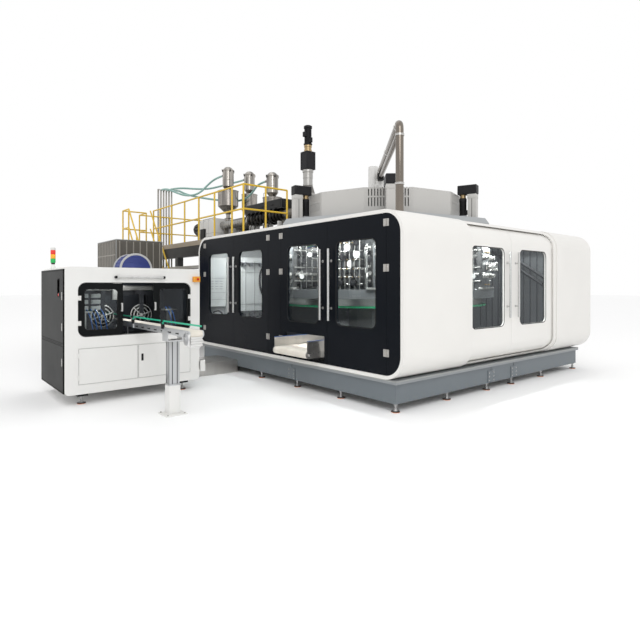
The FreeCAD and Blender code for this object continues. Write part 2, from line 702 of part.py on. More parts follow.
def hinge(x, z, way, on_door, size=S.hinge_plate):
    """One half of a hinge: a plate beside the line and its share of the barrel."""
    width = size / 2 - S.knuckle_radius
    start = x + S.knuckle_radius if way > 0 else x - S.knuckle_radius - width
    leaf = box(start, -S.hinge_sheet, z, width, S.hinge_sheet, size)
    third = size / 3
    web_start = x if way > 0 else x - S.knuckle_radius
    if on_door:
        webs = [box(web_start, -S.hinge_sheet, z + i * third, S.knuckle_radius,
                    S.hinge_sheet - 1, third) for i in (0, 2)]
        barrels = [rod(x, -S.knuckle_radius, z + i * third, S.knuckle_radius,
                       third - S.seat_gap, sides=FINE) for i in (0, 2)]
        return [leaf, *webs, *barrels]
    web = box(web_start, -S.hinge_sheet, z + third, S.knuckle_radius, S.hinge_sheet - 1,
              third)
    return [leaf, web, rod(x, -S.knuckle_radius, z + third, S.knuckle_radius,
                           third - S.seat_gap, sides=FINE)]


def front_posts():
    """The fixed black strips and the centre pillar, with their halves of the hinges."""
    depth = S.leaf_thickness
    panel = plate("xz", LEFT, 0, S.tunnel_bottom, depth, PANEL)
    gap = S.door_gap / 2

    def strip(start, end):
        return box(start, 0, S.tunnel_bottom, end - start, depth, S.tunnel_height)

    strips = group(strip(LEFT + S.rim_width, HINGE_ONE - gap),
                   strip(HINGE_TWO + gap, HINGE_THREE - gap),
                   strip(HINGE_FOUR + gap, -S.rim_width))
    hinges = [piece for x, way in FRONT_DOORS for share in HINGE_HEIGHTS
              for piece in hinge(x, DOOR_BOTTOM + DOOR_HEIGHT * share, -way, False)]
    return fuse(common(panel, strips), *hinges)


def bar_handle_front(x):
    """An upright bar on two standoffs before the leaf."""
    posts = [rod(x, -S.handle_standoff, S.handle_bottom + S.handle_length * share,
                 S.post_radius, S.handle_standoff, along="y", sides=FINE)
             for share in HANDLE_POSTS]
    bar = rod(x, -S.handle_standoff, S.handle_bottom, S.handle_radius, S.handle_length,
              sides=FINE)
    return [bar, *posts]


def front_door(number):
    hinge_x, way = FRONT_DOORS[number - 1]
    left = hinge_x if way > 0 else hinge_x - LEAF
    window_x = S.window_margin if way > 0 else S.window_lock
    holes = [(window_x - S.door_gap / 2, S.window_bottom - DOOR_BOTTOM, WINDOW_WIDTH,
              S.window_height, S.window_corner)]
    if number == 3:
        hatch_x = S.scrap_offset - S.hatch_margin - S.door_gap / 2
        holes.append((hatch_x, S.hatch_bottom - DOOR_BOTTOM,
                      S.scrap_width + 2 * S.hatch_margin, S.hatch_height))
    slab = plate("xz", left + S.door_gap / 2, 0, DOOR_BOTTOM, S.leaf_thickness,
                 (0, 0, LEAF - S.door_gap, DOOR_HEIGHT), holes)
    handle_x = hinge_x + way * (LEAF - S.handle_offset)
    hinges = [piece for share in HINGE_HEIGHTS
              for piece in hinge(hinge_x, DOOR_BOTTOM + DOOR_HEIGHT * share, way, True)]
    return fuse(slab, *hinges, *bar_handle_front(handle_x))


def front_glass(number):
    """The pane behind the window, lapped on the leaf's inner face."""
    hinge_x, way = FRONT_DOORS[number - 1]
    start = S.window_margin if way > 0 else -S.window_margin - WINDOW_WIDTH
    return box(hinge_x + start - S.pane_lap, S.leaf_thickness, S.window_bottom - S.pane_lap,
               WINDOW_WIDTH + 2 * S.pane_lap, S.pane_thickness,
               S.window_height + 2 * S.pane_lap)


node("front_posts", front_posts())
for number in range(1, 5):
    node(f"front_door_{number}", front_door(number))
    node(f"front_glass_{number}", front_glass(number))


# ---- right side sliding doors ----------------------------------------------------------
# each sliding door: its two ends, its window's two ends, and the way to it from the seam
SLIDE_DOORS = [(S.front_cover_depth - S.slide_lap, S.slide_seam - S.door_gap / 2,
                S.front_cover_depth + S.slide_window_edge,
                S.slide_seam - S.slide_window_seam, -1),
               (S.slide_seam + S.door_gap / 2, BEAD + S.slide_lap,
                S.slide_seam + S.far_window_seam, BEAD - S.far_window_edge, 1)]


def side_door(start, end, window, window_end, way):
    """A sliding door: a length of the tunnel's side, inset behind the covers."""
    inset = S.door_recess
    ring = tunnel_ring(inset, inset + S.slide_wall, start, end)
    side = box(-SIDE_SPLIT, start, S.tunnel_bottom, SIDE_SPLIT, end - start,
               S.tunnel_height)
    opening = plate("yz", -S.tunnel_corner, window, S.slide_window_bottom,
                    S.tunnel_corner,
                    (0, 0, window_end - window, S.slide_window_height, S.window_corner))
    handle_y = S.slide_seam + way * S.slide_handle_offset
    axis_x = S.handle_standoff - S.door_recess
    posts = [rod(-S.door_recess, handle_y, S.handle_bottom + S.handle_length * share,
                 S.post_radius, S.handle_standoff, along="x", sides=FINE)
             for share in HANDLE_POSTS]
    bar = rod(axis_x, handle_y, S.handle_bottom, S.handle_radius, S.handle_length)
    return fuse(cut(common(ring, side), opening), bar, *posts)


def side_glass(window, window_end):
    return box(-S.door_recess - S.slide_wall - S.pane_thickness, window - S.pane_lap,
               S.slide_window_bottom - S.pane_lap, S.pane_thickness,
               window_end - window + 2 * S.pane_lap,
               S.slide_window_height + 2 * S.pane_lap)


for number, row in enumerate(SLIDE_DOORS, start=1):
    node(f"side_door_{number}", side_door(*row))
    node(f"side_glass_{number}", side_glass(row[2], row[3]))


# ---- scrap conveyor through door three -------------------------------------------------
SCRAP_RUN = S.scrap_reach + S.scrap_inner
SCRAP_BED = S.scrap_top - S.scrap_depth
SCRAP_NOSE = S.scrap_depth * 0.48
BELT_SIDE_GAP = 3


def scrap_frame():
    """Side plates, guards with their front ends raked back, two drums, bed and legs."""
    right = SCRAP_X + S.scrap_width - S.side_plate
    nose = S.scrap_depth / 2
    plates = []
    for x in (SCRAP_X, right):
        plates.append(plate("yz", x, -S.scrap_reach, SCRAP_BED, S.side_plate,
                            (0, 0, SCRAP_RUN, S.scrap_depth, SCRAP_NOSE)))
        plates.append(box(x, S.rim_depth / 2 - S.scrap_reach, SCRAP_BED + nose,
                          S.side_plate / 3, SCRAP_RUN - nose, nose + S.guard_height))
    inner = S.scrap_width - 2 * S.side_plate
    radius = nose - S.belt_thickness - S.seat_gap
    drums = [rod(SCRAP_X + S.side_plate, y, SCRAP_BED + nose, radius, inner, along="x")
             for y in (nose - S.scrap_reach, S.scrap_inner - nose)]
    bed = box(SCRAP_X + S.side_plate, S.scrap_depth, S.scrap_top - 2 * nose + 2 * S.side_plate,
              inner, S.scrap_inner - 3 * nose, S.side_plate)
    legs = [box(x, y, S.tunnel_bottom + S.cover_wall, S.side_plate * 4, S.side_plate * 4,
                SCRAP_BED + nose - S.tunnel_bottom - S.cover_wall)
            for x in (SCRAP_X - S.side_plate * 4, right + S.side_plate)
            for y in (S.scrap_depth, S.scrap_inner - 2 * nose)]
    return fuse(*plates, *drums, bed, *legs)


def scrap_belt():
    length = S.scrap_width - 2 * S.side_plate - 2 * BELT_SIDE_GAP
    wall = S.belt_thickness
    return plate("yz", SCRAP_X + S.side_plate + BELT_SIDE_GAP, -S.scrap_reach, SCRAP_BED,
                 length, (0, 0, SCRAP_RUN, S.scrap_depth, SCRAP_NOSE),
                 [(wall, wall, SCRAP_RUN - 2 * wall, S.scrap_depth - 2 * wall,
                   SCRAP_NOSE - wall)])


def floor_duct():
    """The low steel duct on the floor, from the trimming unit's far side to the base skirt."""
    start = S.trim_width - S.trim_near
    half = S.skirt_wall / 2
    round_foot = rod(BASE_LEFT + half + FOOT_PITCH, S.base_inset_front + half, 0,
                     S.foot_pad_radius + S.running_gap, S.foot_pad_height + S.running_gap)
    return cut(box(-S.duct_right - S.duct_width, start, 0, S.duct_width,
                   S.base_inset_front - start, S.duct_height), round_foot)


node("scrap_conveyor_frame", scrap_frame(), floor_duct())
node("scrap_conveyor_belt", scrap_belt())


# ---- carousel --------------------------------------------------------------------------
STATIONS = 6
STATION_TURN = -41.5       # degrees from +X to the first station
DECK_SHEET = DECK_TOP - S.deck_plate
MAST_REACH = 430
MAST_WALL = 40
HALF_FACE = math.cos(math.radians(15))


def at_station(number, *pieces):
    """Pieces drawn about the carousel axis, out along +X, turned to one station."""
    turned = group(*pieces)
    return place(turned, CENTRE_X, CENTRE_Y, 0, (0, 0, 1),
                 STATION_TURN + 360 / STATIONS * number)


def all_stations(*pieces):
    return [at_station(number, *pieces) for number in range(STATIONS)]


def carousel_table():
    """Twelve-sided pan on its hub, and the mast that carries the deck."""
    x, y, wall = CENTRE_X, CENTRE_Y, S.deck_plate
    rim = prism(x, y, S.table_bottom, 12, S.table_reach, S.table_height)
    inside = prism(x, y, S.table_bottom, 12, S.table_reach - 3 * wall,
                   S.table_height - wall)
    hub = prism(x, y, S.table_bottom, 12, S.table_hole, S.table_height)
    mast = prism(x, y, TABLE_TOP, 12, MAST_REACH, DECK_SHEET - TABLE_TOP)
    bore = prism(x, y, S.table_bottom, 12, MAST_REACH - MAST_WALL,
                 DECK_SHEET - S.table_bottom)
    return cut(fuse(cut(rim, inside), hub, mast), bore)


PLATEN_BOTTOM = TABLE_TOP + S.platen_lift
PLATEN_Y = -S.platen_width / 2
BAR_Y = S.platen_width / 2 - S.tie_bar_inset
MOVING_X = S.platen_inner + S.platen_thickness + S.mould_space
RAM_Z = PLATEN_BOTTOM + S.platen_height / 2
RAM_START = MOVING_X + S.platen_thickness + S.clamp_travel + S.running_gap
TIE_BARS = ((-BAR_Y, PLATEN_BOTTOM + S.platen_height - S.tie_bar_inset),
            (BAR_Y, PLATEN_BOTTOM + S.tie_bar_inset))


def clamp_frame():
    """Fixed platen, outer bridge, two tie bars, ram body, arm to the mast and blow pin."""
    fixed = box(S.platen_inner, PLATEN_Y, TABLE_TOP, S.platen_thickness, S.platen_width,
                S.platen_height + S.platen_lift)
    bridge = box(S.bridge_reach, PLATEN_Y, TABLE_TOP, S.platen_thickness, S.platen_width,
                 S.platen_height + S.platen_lift)
    bars = [rod(S.platen_inner, y, z, S.tie_bar_radius,
                S.bridge_reach + S.platen_thickness - S.platen_inner, along="x",
                sides=FINE) for y, z in TIE_BARS]
    ram = rod(RAM_START, 0, RAM_Z, S.ram_radius, S.bridge_reach - RAM_START, along="x")
    ram_bore = rod(RAM_START, 0, RAM_Z, S.tie_bar_radius + S.bar_clearance,
                   S.bridge_reach + S.platen_thickness - RAM_START, along="x")
    arm_start = MAST_REACH * HALF_FACE - MAST_WALL / 2
    arm = box(arm_start, -S.column_side / 2, RAM_Z, S.platen_inner - arm_start,
              S.column_side, S.column_side)
    arm_cut = box(0, -S.column_side, RAM_Z, MAST_REACH, 2 * S.column_side, S.column_side)
    bracket = box(S.platen_inner, -S.ram_radius, PLATEN_BOTTOM + S.platen_height,
                  S.platen_thickness + S.mould_space / 2 + S.ram_radius, 2 * S.ram_radius,
                  S.deck_plate)
    pin_x = S.platen_inner + S.platen_thickness + S.mould_space / 2
    pin = rod(pin_x, 0, PLATEN_BOTTOM + S.platen_height - S.ram_radius, S.tie_bar_radius,
              4 * S.ram_radius, sides=FINE)
    return fuse(cut(fuse(fixed, bridge, *bars, ram), ram_bore), cut(arm, arm_cut), bracket,
                pin)


def moving_platen():
    """The outer platen on its tie bars, with the ram's rod."""
    slab = box(MOVING_X, PLATEN_Y, PLATEN_BOTTOM, S.platen_thickness, S.platen_width,
               S.platen_height)
    bores = [rod(MOVING_X, y, z, S.tie_bar_radius + S.bar_clearance, S.platen_thickness,
                 along="x", sides=FINE) for y, z in TIE_BARS]
    ram_rod = rod(MOVING_X + S.platen_thickness, 0, RAM_Z, S.tie_bar_radius,
                  S.bridge_reach - MOVING_X - S.platen_thickness, along="x")
    return fuse(cut(slab, *bores), ram_rod)


node("carousel_table", carousel_table())
node("clamp_frames", *all_stations(clamp_frame()))
for number in range(STATIONS):
    node(f"moving_platen_{number + 1}", at_station(number, moving_platen()))


# ---- tower on the deck -----------------------------------------------------------------
LOUVRES = 14
DRUM_TURN = STATION_TURN + 15
DRUM_FACTOR = 1 / math.cos(math.radians(15))


def tower_deck():
    """Six-sided deck: an upright skirt, sloped edges above it, open below."""
    low = DECK_TOP - S.deck_skirt
    slope = S.deck_skirt / 2
    skirt = prism(CENTRE_X, CENTRE_Y, low, 6, S.deck_reach, S.deck_skirt - slope,
                  STATION_TURN)
    sloped = cone(CENTRE_X, CENTRE_Y, DECK_TOP - slope, S.deck_reach,
                  S.deck_reach - S.deck_slope, slope, 6, STATION_TURN)
    hollow = prism(CENTRE_X, CENTRE_Y, low, 6, S.deck_reach - S.deck_slope - S.deck_plate,
                   S.deck_skirt - S.deck_plate, STATION_TURN)
    return cut(fuse(skirt, sloped), hollow)


def bar_width():
    """The bar left between two slots of the tower cover."""
    return S.louvre_pitch - S.louvre_width


def tower_cover():
    """Twelve-sided louvred cover: two rows of upright slots on every second face."""
    height = DRUM_TOP - DECK_TOP
    outer = prism(CENTRE_X, CENTRE_Y, DECK_TOP, 12, S.drum_inradius * DRUM_FACTOR, height,
                  DRUM_TURN)
    inner = prism(CENTRE_X, CENTRE_Y, DECK_TOP, 12,
                  (S.drum_inradius - S.drum_wall) * DRUM_FACTOR, height - S.drum_wall,
                  DRUM_TURN)
    width = S.louvre_pitch * (LOUVRES - 1) + S.louvre_width
    rows = [TOP + S.louvre_rise + row * S.louvre_step for row in (0, 1)]
    banks = [box(S.drum_inradius - 2 * S.drum_wall, -width / 2, z, 3 * S.drum_wall, width,
                 S.louvre_height) for z in rows]
    bars = [box(S.drum_inradius - S.drum_wall + S.louvre_set,
                S.louvre_pitch * (i - LOUVRES / 2 + 1) - bar_width() / 2, z,
                S.drum_wall - 2 * S.louvre_set, bar_width(), S.louvre_height)
            for i in range(LOUVRES - 1) for z in rows]
    shell = cut(cut(outer, inner), *all_stations(group(*banks)))
    return fuse(shell, *all_stations(group(*bars)))


def lift_column():
    return box(S.column_reach - S.column_side / 2, -S.column_side / 2, DECK_TOP,
               S.column_side, S.column_side, COLUMN_TOP - DECK_TOP)


def lift_drive():
    """Motor on its bracket, brass coupling, and the belt housing over both."""
    side = S.motor_radius
    bracket = box(S.motor_reach - side, -side, DECK_TOP, 2 * side, 2 * side,
                  MOTOR_BOTTOM - DECK_TOP)
    motor = prism(S.motor_reach, 0, MOTOR_BOTTOM, 12, S.motor_radius,
                  COLUMN_TOP - MOTOR_BOTTOM - side)
    coupling = prism(S.motor_reach, 0, COLUMN_TOP - side, 12, side * 0.86, side)
    housing = box(S.motor_reach - S.head_width / 2, -S.head_width / 2, COLUMN_TOP,
                  S.head_length, S.head_width, S.head_height)
    return fuse(bracket, motor, coupling, housing)


node("tower_deck", tower_deck())
node("tower_cover", tower_cover())
node("clamp_columns", *all_stations(lift_column()))
node("clamp_drives", *all_stations(lift_drive()))


# ---- pipes and swept tubes -------------------------------------------------------------
def tube(points, radius, bend=None, sides=None):
    """A tube along straight runs joined by tangent arcs, through points of Sizes.

    With no bend radius, each arc takes 0.45 of its shorter run, as a free hose lies.
    With sides, the section is a regular polygon."""
    vecs = [FreeCAD.Vector(*(as_size(c).value for c in point)) for point in points]
    edges, start, radii = [], vecs[0], []
    for before, corner, after in zip(vecs, vecs[1:], vecs[2:]):
        into = (corner - before).normalize()
        out = (after - corner).normalize()
        half = into.getAngle(out) / 2
        shorter = min((corner - before).Length, (after - corner).Length)
        arc_radius = bend.value if bend else 0.45 * shorter / math.tan(half)
        back = arc_radius * math.tan(half)
        radii.append(round(arc_radius))
        first, last = corner - into * back, corner + out * back
        inward = (out - into).normalize()
        middle = corner + inward * (arc_radius / math.cos(half) - arc_radius)
        edges.append(Part.LineSegment(start, first).toShape())
        edges.append(Part.Arc(first, middle, last).toShape())
        start = last
    edges.append(Part.LineSegment(start, vecs[-1]).toShape())
    path = Part.Wire(edges)
    heading = (vecs[1] - vecs[0]).normalize()
    circle = Part.Circle(vecs[0], heading, as_size(radius).value)
    if sides:
        ring = [circle.value(2 * math.pi * i / sides) for i in range(sides)]
        section = Part.makePolygon(ring + ring[:1])
        area = sides / 2 * radius.value ** 2 * math.sin(2 * math.pi / sides)
    else:
        section = Part.Wire([circle.toShape()])
        area = math.pi * radius.value ** 2
    shape = path.makePipeShell([section], True, False)
    solid = shape if shape.ShapeType == "Solid" else Part.Solid(shape)
    print(f"tube of {len(points)} points: arc radii {radii}, volume over section x length "
          f"{solid.Volume / (area * path.Length):.4f}")
    obj = doc.addObject("Part::Feature", "Tube")
    obj.Shape = solid
    return obj


def pipe_gantry():
    """Upright pipe, elbow and top pipe to the tower's axis, with a second pipe below."""
    x, y = -S.gantry_left, S.gantry_deep
    top = tube([(x, y, TOP), (x, y, GANTRY_TOP), (CENTRE_X, CENTRE_Y, GANTRY_TOP),
                (CENTRE_X, CENTRE_Y, GANTRY_TOP - S.gantry_drop)],
               S.gantry_radius, bend=S.elbow_radius, sides=8)
    flange = rod(x, y, TOP, S.gantry_radius * 1.6, S.cover_wall)
    return fuse(top, flange)


def lower_pipe():
    """The thinner pipe under the top pipe, from the upright to the rotary union."""
    x, y = -S.gantry_left, S.gantry_deep
    z = GANTRY_TOP - S.gantry_drop
    share = 0.94
    end_x = x + (CENTRE_X - x) * share
    end_y = y + (CENTRE_Y - y) * share
    return tube([(x, y, z), (end_x, end_y, z)], S.gantry_radius * 0.75, sides=8)


def rotary_union():
    """Rotary union under the pipes, and the slip ring housing beside it."""
    start = DRUM_TOP + S.seat_gap
    body = rod(CENTRE_X, CENTRE_Y, start, S.union_radius, UNION_TOP - start)
    collar = rod(CENTRE_X, CENTRE_Y, UNION_TOP, S.gantry_radius,
                 GANTRY_TOP - S.gantry_drop - UNION_TOP)
    slip = rod(CENTRE_X - S.union_radius - S.ring_radius, CENTRE_Y, start, S.ring_radius,
               TOP + S.ring_rise - start)
    return group(fuse(body, collar, slip))


node("pipe_gantry", fuse(pipe_gantry(), lower_pipe()))
node("rotary_union", rotary_union())


# ---- extrusion head and its servo ------------------------------------------------------
def die_head():
    """The head body with its die below the roof and the block that takes the screw."""
    x, y = -S.head_left, S.screw_deep
    lower = TOP - 1.1 * S.die_radius
    body = rod(x, y, lower, S.die_radius, SERVO_BASE - lower - S.die_radius)
    neck = cone(x, y, SERVO_BASE - S.die_radius, S.die_radius, S.servo_tube, S.die_radius)
    die = cone(x, y, lower - S.die_radius / 2, S.die_radius / 2, S.die_radius,
               S.die_radius / 2)
    block = box(x - 2 * S.die_radius, y - S.barrel_radius, SCREW_Z - S.barrel_radius,
                2 * S.die_radius, 2 * S.barrel_radius, 2 * S.barrel_radius)
    return fuse(body, neck, die, block)


def parison_servo():
    """Lantern tube, flange, gearbox, brass coupling and motor, one above the other."""
    x, y = -S.head_left, S.screw_deep
    side = S.servo_box
    box_top = SERVO_BOX + S.servo_box_height
    motor_bottom = box_top + S.servo_ring
    flange = side / 4
    tube_height = SERVO_BOX - flange - SERVO_BASE
    return fuse(rod(x, y, SERVO_BASE, S.servo_tube, tube_height),
                rod(x, y, SERVO_BOX - flange, side / 2, flange),
                box(x - side / 2, y - side / 2, SERVO_BOX, side, side,
                    S.servo_box_height),
                rod(x, y, box_top, side * 0.36, S.servo_ring),
                rod(x, y, motor_bottom, side * 0.33, FLOOR_TOP + S.servo_rise - motor_bottom))


node("die_head", die_head())
node("parison_servo", parison_servo())


# ---- platform, stairs and railings -----------------------------------------------------
FLOOR_LEFT = -S.floor_left
FLOOR_RIGHT = -S.floor_right
LANDING_LEFT = -S.landing_left
LANDING_RIGHT = -S.landing_right
RAIL_TOP = FLOOR_TOP + S.rail_height
LEG_COLUMNS = 3
STEPS = int(S.stair_steps.value)


def platform():
    """Floor, landing, beams, legs clear of the enclosure, and the stairs."""
    length = FLOOR_RIGHT - FLOOR_LEFT
    depth = S.floor_back - S.floor_front
    slab = box(FLOOR_LEFT, S.floor_front, FLOOR_LOW, length, depth, S.floor_edge)
    landing = box(LANDING_LEFT, S.landing_front, FLOOR_LOW, LANDING_RIGHT - LANDING_LEFT,
                  S.floor_front - S.landing_front, S.floor_edge)
    head_hole = box(-S.head_left - S.die_radius - S.cover_wall,
                    S.screw_deep - S.die_radius - S.cover_wall, FLOOR_LOW,
                    S.head_left - S.floor_right + S.die_radius + S.cover_wall,
                    2 * S.die_radius + 2 * S.cover_wall, S.floor_edge)
    beam_right = LEFT - S.leg_side
    beam_low = FLOOR_LOW - S.beam_height
    beams, legs = [], []
    for y in (S.floor_front + S.running_gap, S.floor_back - S.leg_side - S.running_gap):
        beams.append(box(FLOOR_LEFT + S.leg_side, y, beam_low,
                         beam_right - FLOOR_LEFT - S.leg_side, S.leg_side, S.beam_height))
        beams.append(box(FLOOR_LEFT + S.leg_side, y, beam_low - 2 * S.leg_side,
                         beam_right - FLOOR_LEFT - S.leg_side, S.leg_side, S.leg_side / 2))
        pitch = (beam_right - FLOOR_LEFT - 2 * S.leg_side) / (LEG_COLUMNS - 1)
        for i in range(LEG_COLUMNS):
            x = FLOOR_LEFT + S.leg_side + i * pitch
            legs.append(box(x, y, 0, S.leg_side, S.leg_side, beam_low))
            legs.append(box(x - S.leg_side / 4, y - S.running_gap / 2, 0,
                            S.leg_side * 1.5, S.leg_side + S.running_gap, S.cover_wall))
    landing_leg = box(LANDING_LEFT, S.landing_front, 0, S.leg_side / 2, S.leg_side / 2,
                      FLOOR_LOW)
    return fuse(cut(fuse(slab, landing), head_hole), *beams, *legs, landing_leg)


def stairs():
    """Two stringers down from the landing toward the right, with level treads between."""
    run, rise = S.stair_run, FLOOR_TOP
    steep = math.atan2(rise.value, run.value)
    slope = math.hypot(rise.value, run.value) * 1.08
    back = S.stringer_height * 1.7
    inner = S.floor_front - S.landing_front - 2 * S.stringer_wall
    stringers = []
    for y in (S.landing_front, S.floor_front - S.stringer_wall):
        bar = box(0, 0, 0, slope + back, S.stringer_wall, S.stringer_height)
        place(bar, LANDING_RIGHT - back * math.cos(steep), y,
              rise - S.stringer_height / math.cos(steep) + back * math.sin(steep),
              (0, 1, 0), math.degrees(steep))
        stringers.append(bar)
    treads = [box(LANDING_RIGHT + run * ((i + 0.25) / STEPS),
                  S.landing_front + S.stringer_wall,
                  rise - rise * ((i + 0.25) / STEPS) - S.tread_depth / 2,
                  S.tread_depth, inner, S.cover_wall) for i in range(STEPS)]
    kept = box(LANDING_RIGHT, S.landing_front, 0, run + 2 * S.stringer_height,
               S.floor_front - S.landing_front, rise)
    return common(fuse(*stringers, *treads), kept)


def upright(x, y):
    return rod(x, y, FLOOR_TOP, S.rail_radius, S.rail_height, sides=FINE)


def level_rails(x, y, length, along):
    """Top and middle rails from a point along +x or +y."""
    return [rod(x, y, FLOOR_TOP + height, S.rail_radius, length, along=along, sides=FINE)
            for height in (S.rail_height, S.rail_middle)]


POSTS_FRONT = 7
RAIL_END_DEEP = 1950
RAIL_LEFT_DEEP = 3000


def railings():
    """Yellow tube railings: front, right end, left end, landing and both stair rails."""
    inset = 2 * S.rail_radius
    y_front = S.floor_front + inset
    x_right, x_left = FLOOR_RIGHT - inset, FLOOR_LEFT + inset
    x_gate = LANDING_RIGHT + inset
    pieces = [upright(x_right - S.post_pitch * (i + 0.6), y_front)
              for i in range(POSTS_FRONT - 1)]
    pieces += [upright(x_gate, y_front)]
    pieces += level_rails(x_gate, y_front, x_right - x_gate, "x")
    pieces += [upright(x_right, y) for y in (y_front, y_front + S.post_pitch * 0.7,
                                             as_size(RAIL_END_DEEP))]
    pieces += level_rails(x_right, y_front, RAIL_END_DEEP - y_front, "y")
    pieces += [upright(x_left, y) for y in (y_front, y_front + S.post_pitch * 1.2,
                                            as_size(RAIL_LEFT_DEEP))]
    pieces += level_rails(x_left, y_front, RAIL_LEFT_DEEP - y_front, "y")
    x_landing = LANDING_LEFT + inset
    y_landing = S.landing_front + S.rail_radius
    pieces += level_rails(x_left, y_front, x_landing - x_left, "x")
    pieces += [upright(x_landing, y_front), upright(x_landing, y_landing),
               upright(LANDING_RIGHT - inset, y_landing)]
    pieces += level_rails(x_landing, y_landing, y_front - y_landing, "y")
    pieces += level_rails(x_landing, y_landing, LANDING_RIGHT - inset - x_landing, "x")
    return fuse(*pieces, *stair_rails())


def stair_rails():
    """A handrail and a middle rail on each stringer, on upright posts."""
    run, rise = S.stair_run, FLOOR_TOP
    steep = math.degrees(math.atan2(rise.value, run.value))
    slope = math.hypot(rise.value, run.value) * 0.97
    start = LANDING_RIGHT - 2 * S.rail_radius
    pieces = []
    for y in (S.landing_front + S.rail_radius, S.floor_front - S.rail_radius):
        for height in (S.rail_height, S.rail_middle):
            bar = prism(0, 0, 0, FINE, S.rail_radius, slope)
            pieces.append(place(bar, start, y, rise + height, (0, 1, 0), 90 + steep))
        for share in (0.3, 0.62, 0.94):
            foot_z = rise - rise * share - S.stringer_height * 0.6
            pieces.append(rod(start + run * share, y, foot_z, S.rail_radius,
                              S.rail_height + S.stringer_height * 0.6, sides=FINE))
    return pieces


stair_body = stairs()
node("platform", fuse(platform(), stair_body))
node("railings", cut(railings(), stair_body))


# ---- extruders, hoppers and loaders ----------------------------------------------------
SCREW_TWO = S.screw_deep + S.second_line
BARREL_TWO = S.barrel_radius * 0.75
HOPPER_NECK = 60


def extruder(y, radius, right, drive_scale):
    """Barrel with heat guards, long cover, lower cover, gearbox and motor, in line."""
    z = SCREW_Z
    barrel = rod(-S.barrel_left, y, z, radius, right + S.barrel_left, along="x")
    count = int((S.cover_left.value - S.cover_right.value) / S.guard_pitch.value)
    guards = [rod(-S.cover_left + S.guard_pitch * (i + 0.2), y, z, radius * 1.4,
                  S.guard_pitch * 0.6, along="x", sides=8) for i in range(count)]
    top = box(-S.cover_left, y - radius * 1.6, z + radius * 1.1,
              S.cover_left - S.cover_right, radius * 3.2, radius * 2)
    base = box(-S.barrel_left, y - radius * 1.5, FLOOR_TOP,
               S.barrel_left - S.cover_right, radius * 3, S.gearbox_height * 0.42)
    saddles = [box(x, y - radius / 2, FLOOR_TOP, S.guard_pitch / 2, radius,
                   z - FLOOR_TOP)
               for x in (-S.barrel_left + S.guard_pitch, -S.cover_right - S.guard_pitch)]
    width = S.gearbox_width * drive_scale
    gearbox = box(-S.gearbox_left, y - width / 2, FLOOR_TOP,
                  S.gearbox_left - S.barrel_left, width, S.gearbox_height)
    motor = rod(-S.gearbox_left - S.drive_length, y, z, S.drive_radius * drive_scale,
                S.drive_length, along="x")
    stand = box(-S.gearbox_left - S.drive_length * 0.7, y - width / 4, FLOOR_TOP,
                S.drive_length * 0.5, width / 2, z - FLOOR_TOP)
    return [barrel, *guards, top, base, *saddles, gearbox, motor, stand]


def extruders():
    main_end = -S.head_left - 2 * S.die_radius
    cross_x = main_end - S.barrel_radius
    second_end = cross_x
    cross = box(cross_x - S.barrel_radius / 2, S.screw_deep, SCREW_Z - BARREL_TWO / 2,
                S.barrel_radius, S.second_line, BARREL_TWO)
    return fuse(*extruder(S.screw_deep, S.barrel_radius, main_end, 1.0), cross,
                *extruder(SCREW_TWO, BARREL_TWO, second_end, 0.6))


def hopper(left, y, radius, top, seat):
    """Cylinder on a cone on a neck that stands on its seat, with a lid on its rim."""
    height = top - seat
    neck, slope = height * 0.22, height * 0.27
    return [rod(left, y, seat, as_size(HOPPER_NECK), neck),
            cone(left, y, seat + neck, as_size(HOPPER_NECK), radius, slope),
            rod(left, y, seat + neck + slope, radius, height - neck - slope),
            rod(left, y, top, radius * 1.05, S.cover_wall)]


def loader(left, y, base):
    """Vacuum loader: cone on the hopper's lid, body, clamped lid, dome and side inlet."""
    radius = S.loader_radius
    foot_height = radius * 0.75
    body = base + foot_height
    top = body + S.loader_height
    inlet_z = top - S.loader_height * 0.2
    return [cone(left, y, base, radius * 0.4, radius, foot_height),
            rod(left, y, body, radius, S.loader_height),
            rod(left, y, top - S.cover_wall, radius * 1.1, 2 * S.cover_wall),
            cone(left, y, top + S.cover_wall, radius, radius * 0.45, radius * 0.5),
            rod(left - radius * 2, y, inlet_z, S.inlet_radius, radius * 2, along="x")]


def inlet_mouth(left, y, top):
    """Where a hose meets a loader's inlet."""
    z = top + S.cover_wall + S.loader_radius * 0.75 + S.loader_height * 0.8
    return (left - 2 * S.loader_radius, y, z)


# axis, radius, rim and seat of each hopper: one on each barrel and one on its own leg
HOPPER_LEG_TOP = FLOOR_TOP + S.leg_side * 4.5
HOPPERS = [(-S.hopper_one_left, S.screw_deep, S.hopper_one_radius, FLOOR_TOP + S.hopper_one_rise,
            SCREW_Z + S.barrel_radius * 0.96),
           (-S.hopper_one_left - S.hopper_one_radius * 0.3,
            SCREW_TWO + S.hopper_one_radius, S.hopper_one_radius * 0.8,
            FLOOR_TOP + S.hopper_one_rise, HOPPER_LEG_TOP),
           (-S.hopper_three_left, SCREW_TWO, S.hopper_three_radius, FLOOR_TOP + S.hopper_three_rise,
            SCREW_Z + BARREL_TWO * 3.1)]


def hoppers():
    pieces = []
    for x, y, radius, top, seat in HOPPERS:
        pieces += hopper(x, y, radius, top, seat)
        pieces += loader(x, y, top + S.cover_wall)
    x, y, radius, _, seat = HOPPERS[1]
    pieces.append(box(x - radius / 2, y - radius / 2, FLOOR_TOP, radius, radius,
                      seat - FLOOR_TOP))
    return fuse(*pieces)


extruder_body = extruders()
node("extruders", extruder_body)
node("hoppers", cut(hoppers(), extruder_body))


# ---- conveying pipes and hoses ---------------------------------------------------------
PIPES = 6
PIPE_X = -S.pipe_left
PIPE_TOP = FLOOR_TOP + S.pipe_rise
PIPE_STUB = 3 * S.pipe_radius


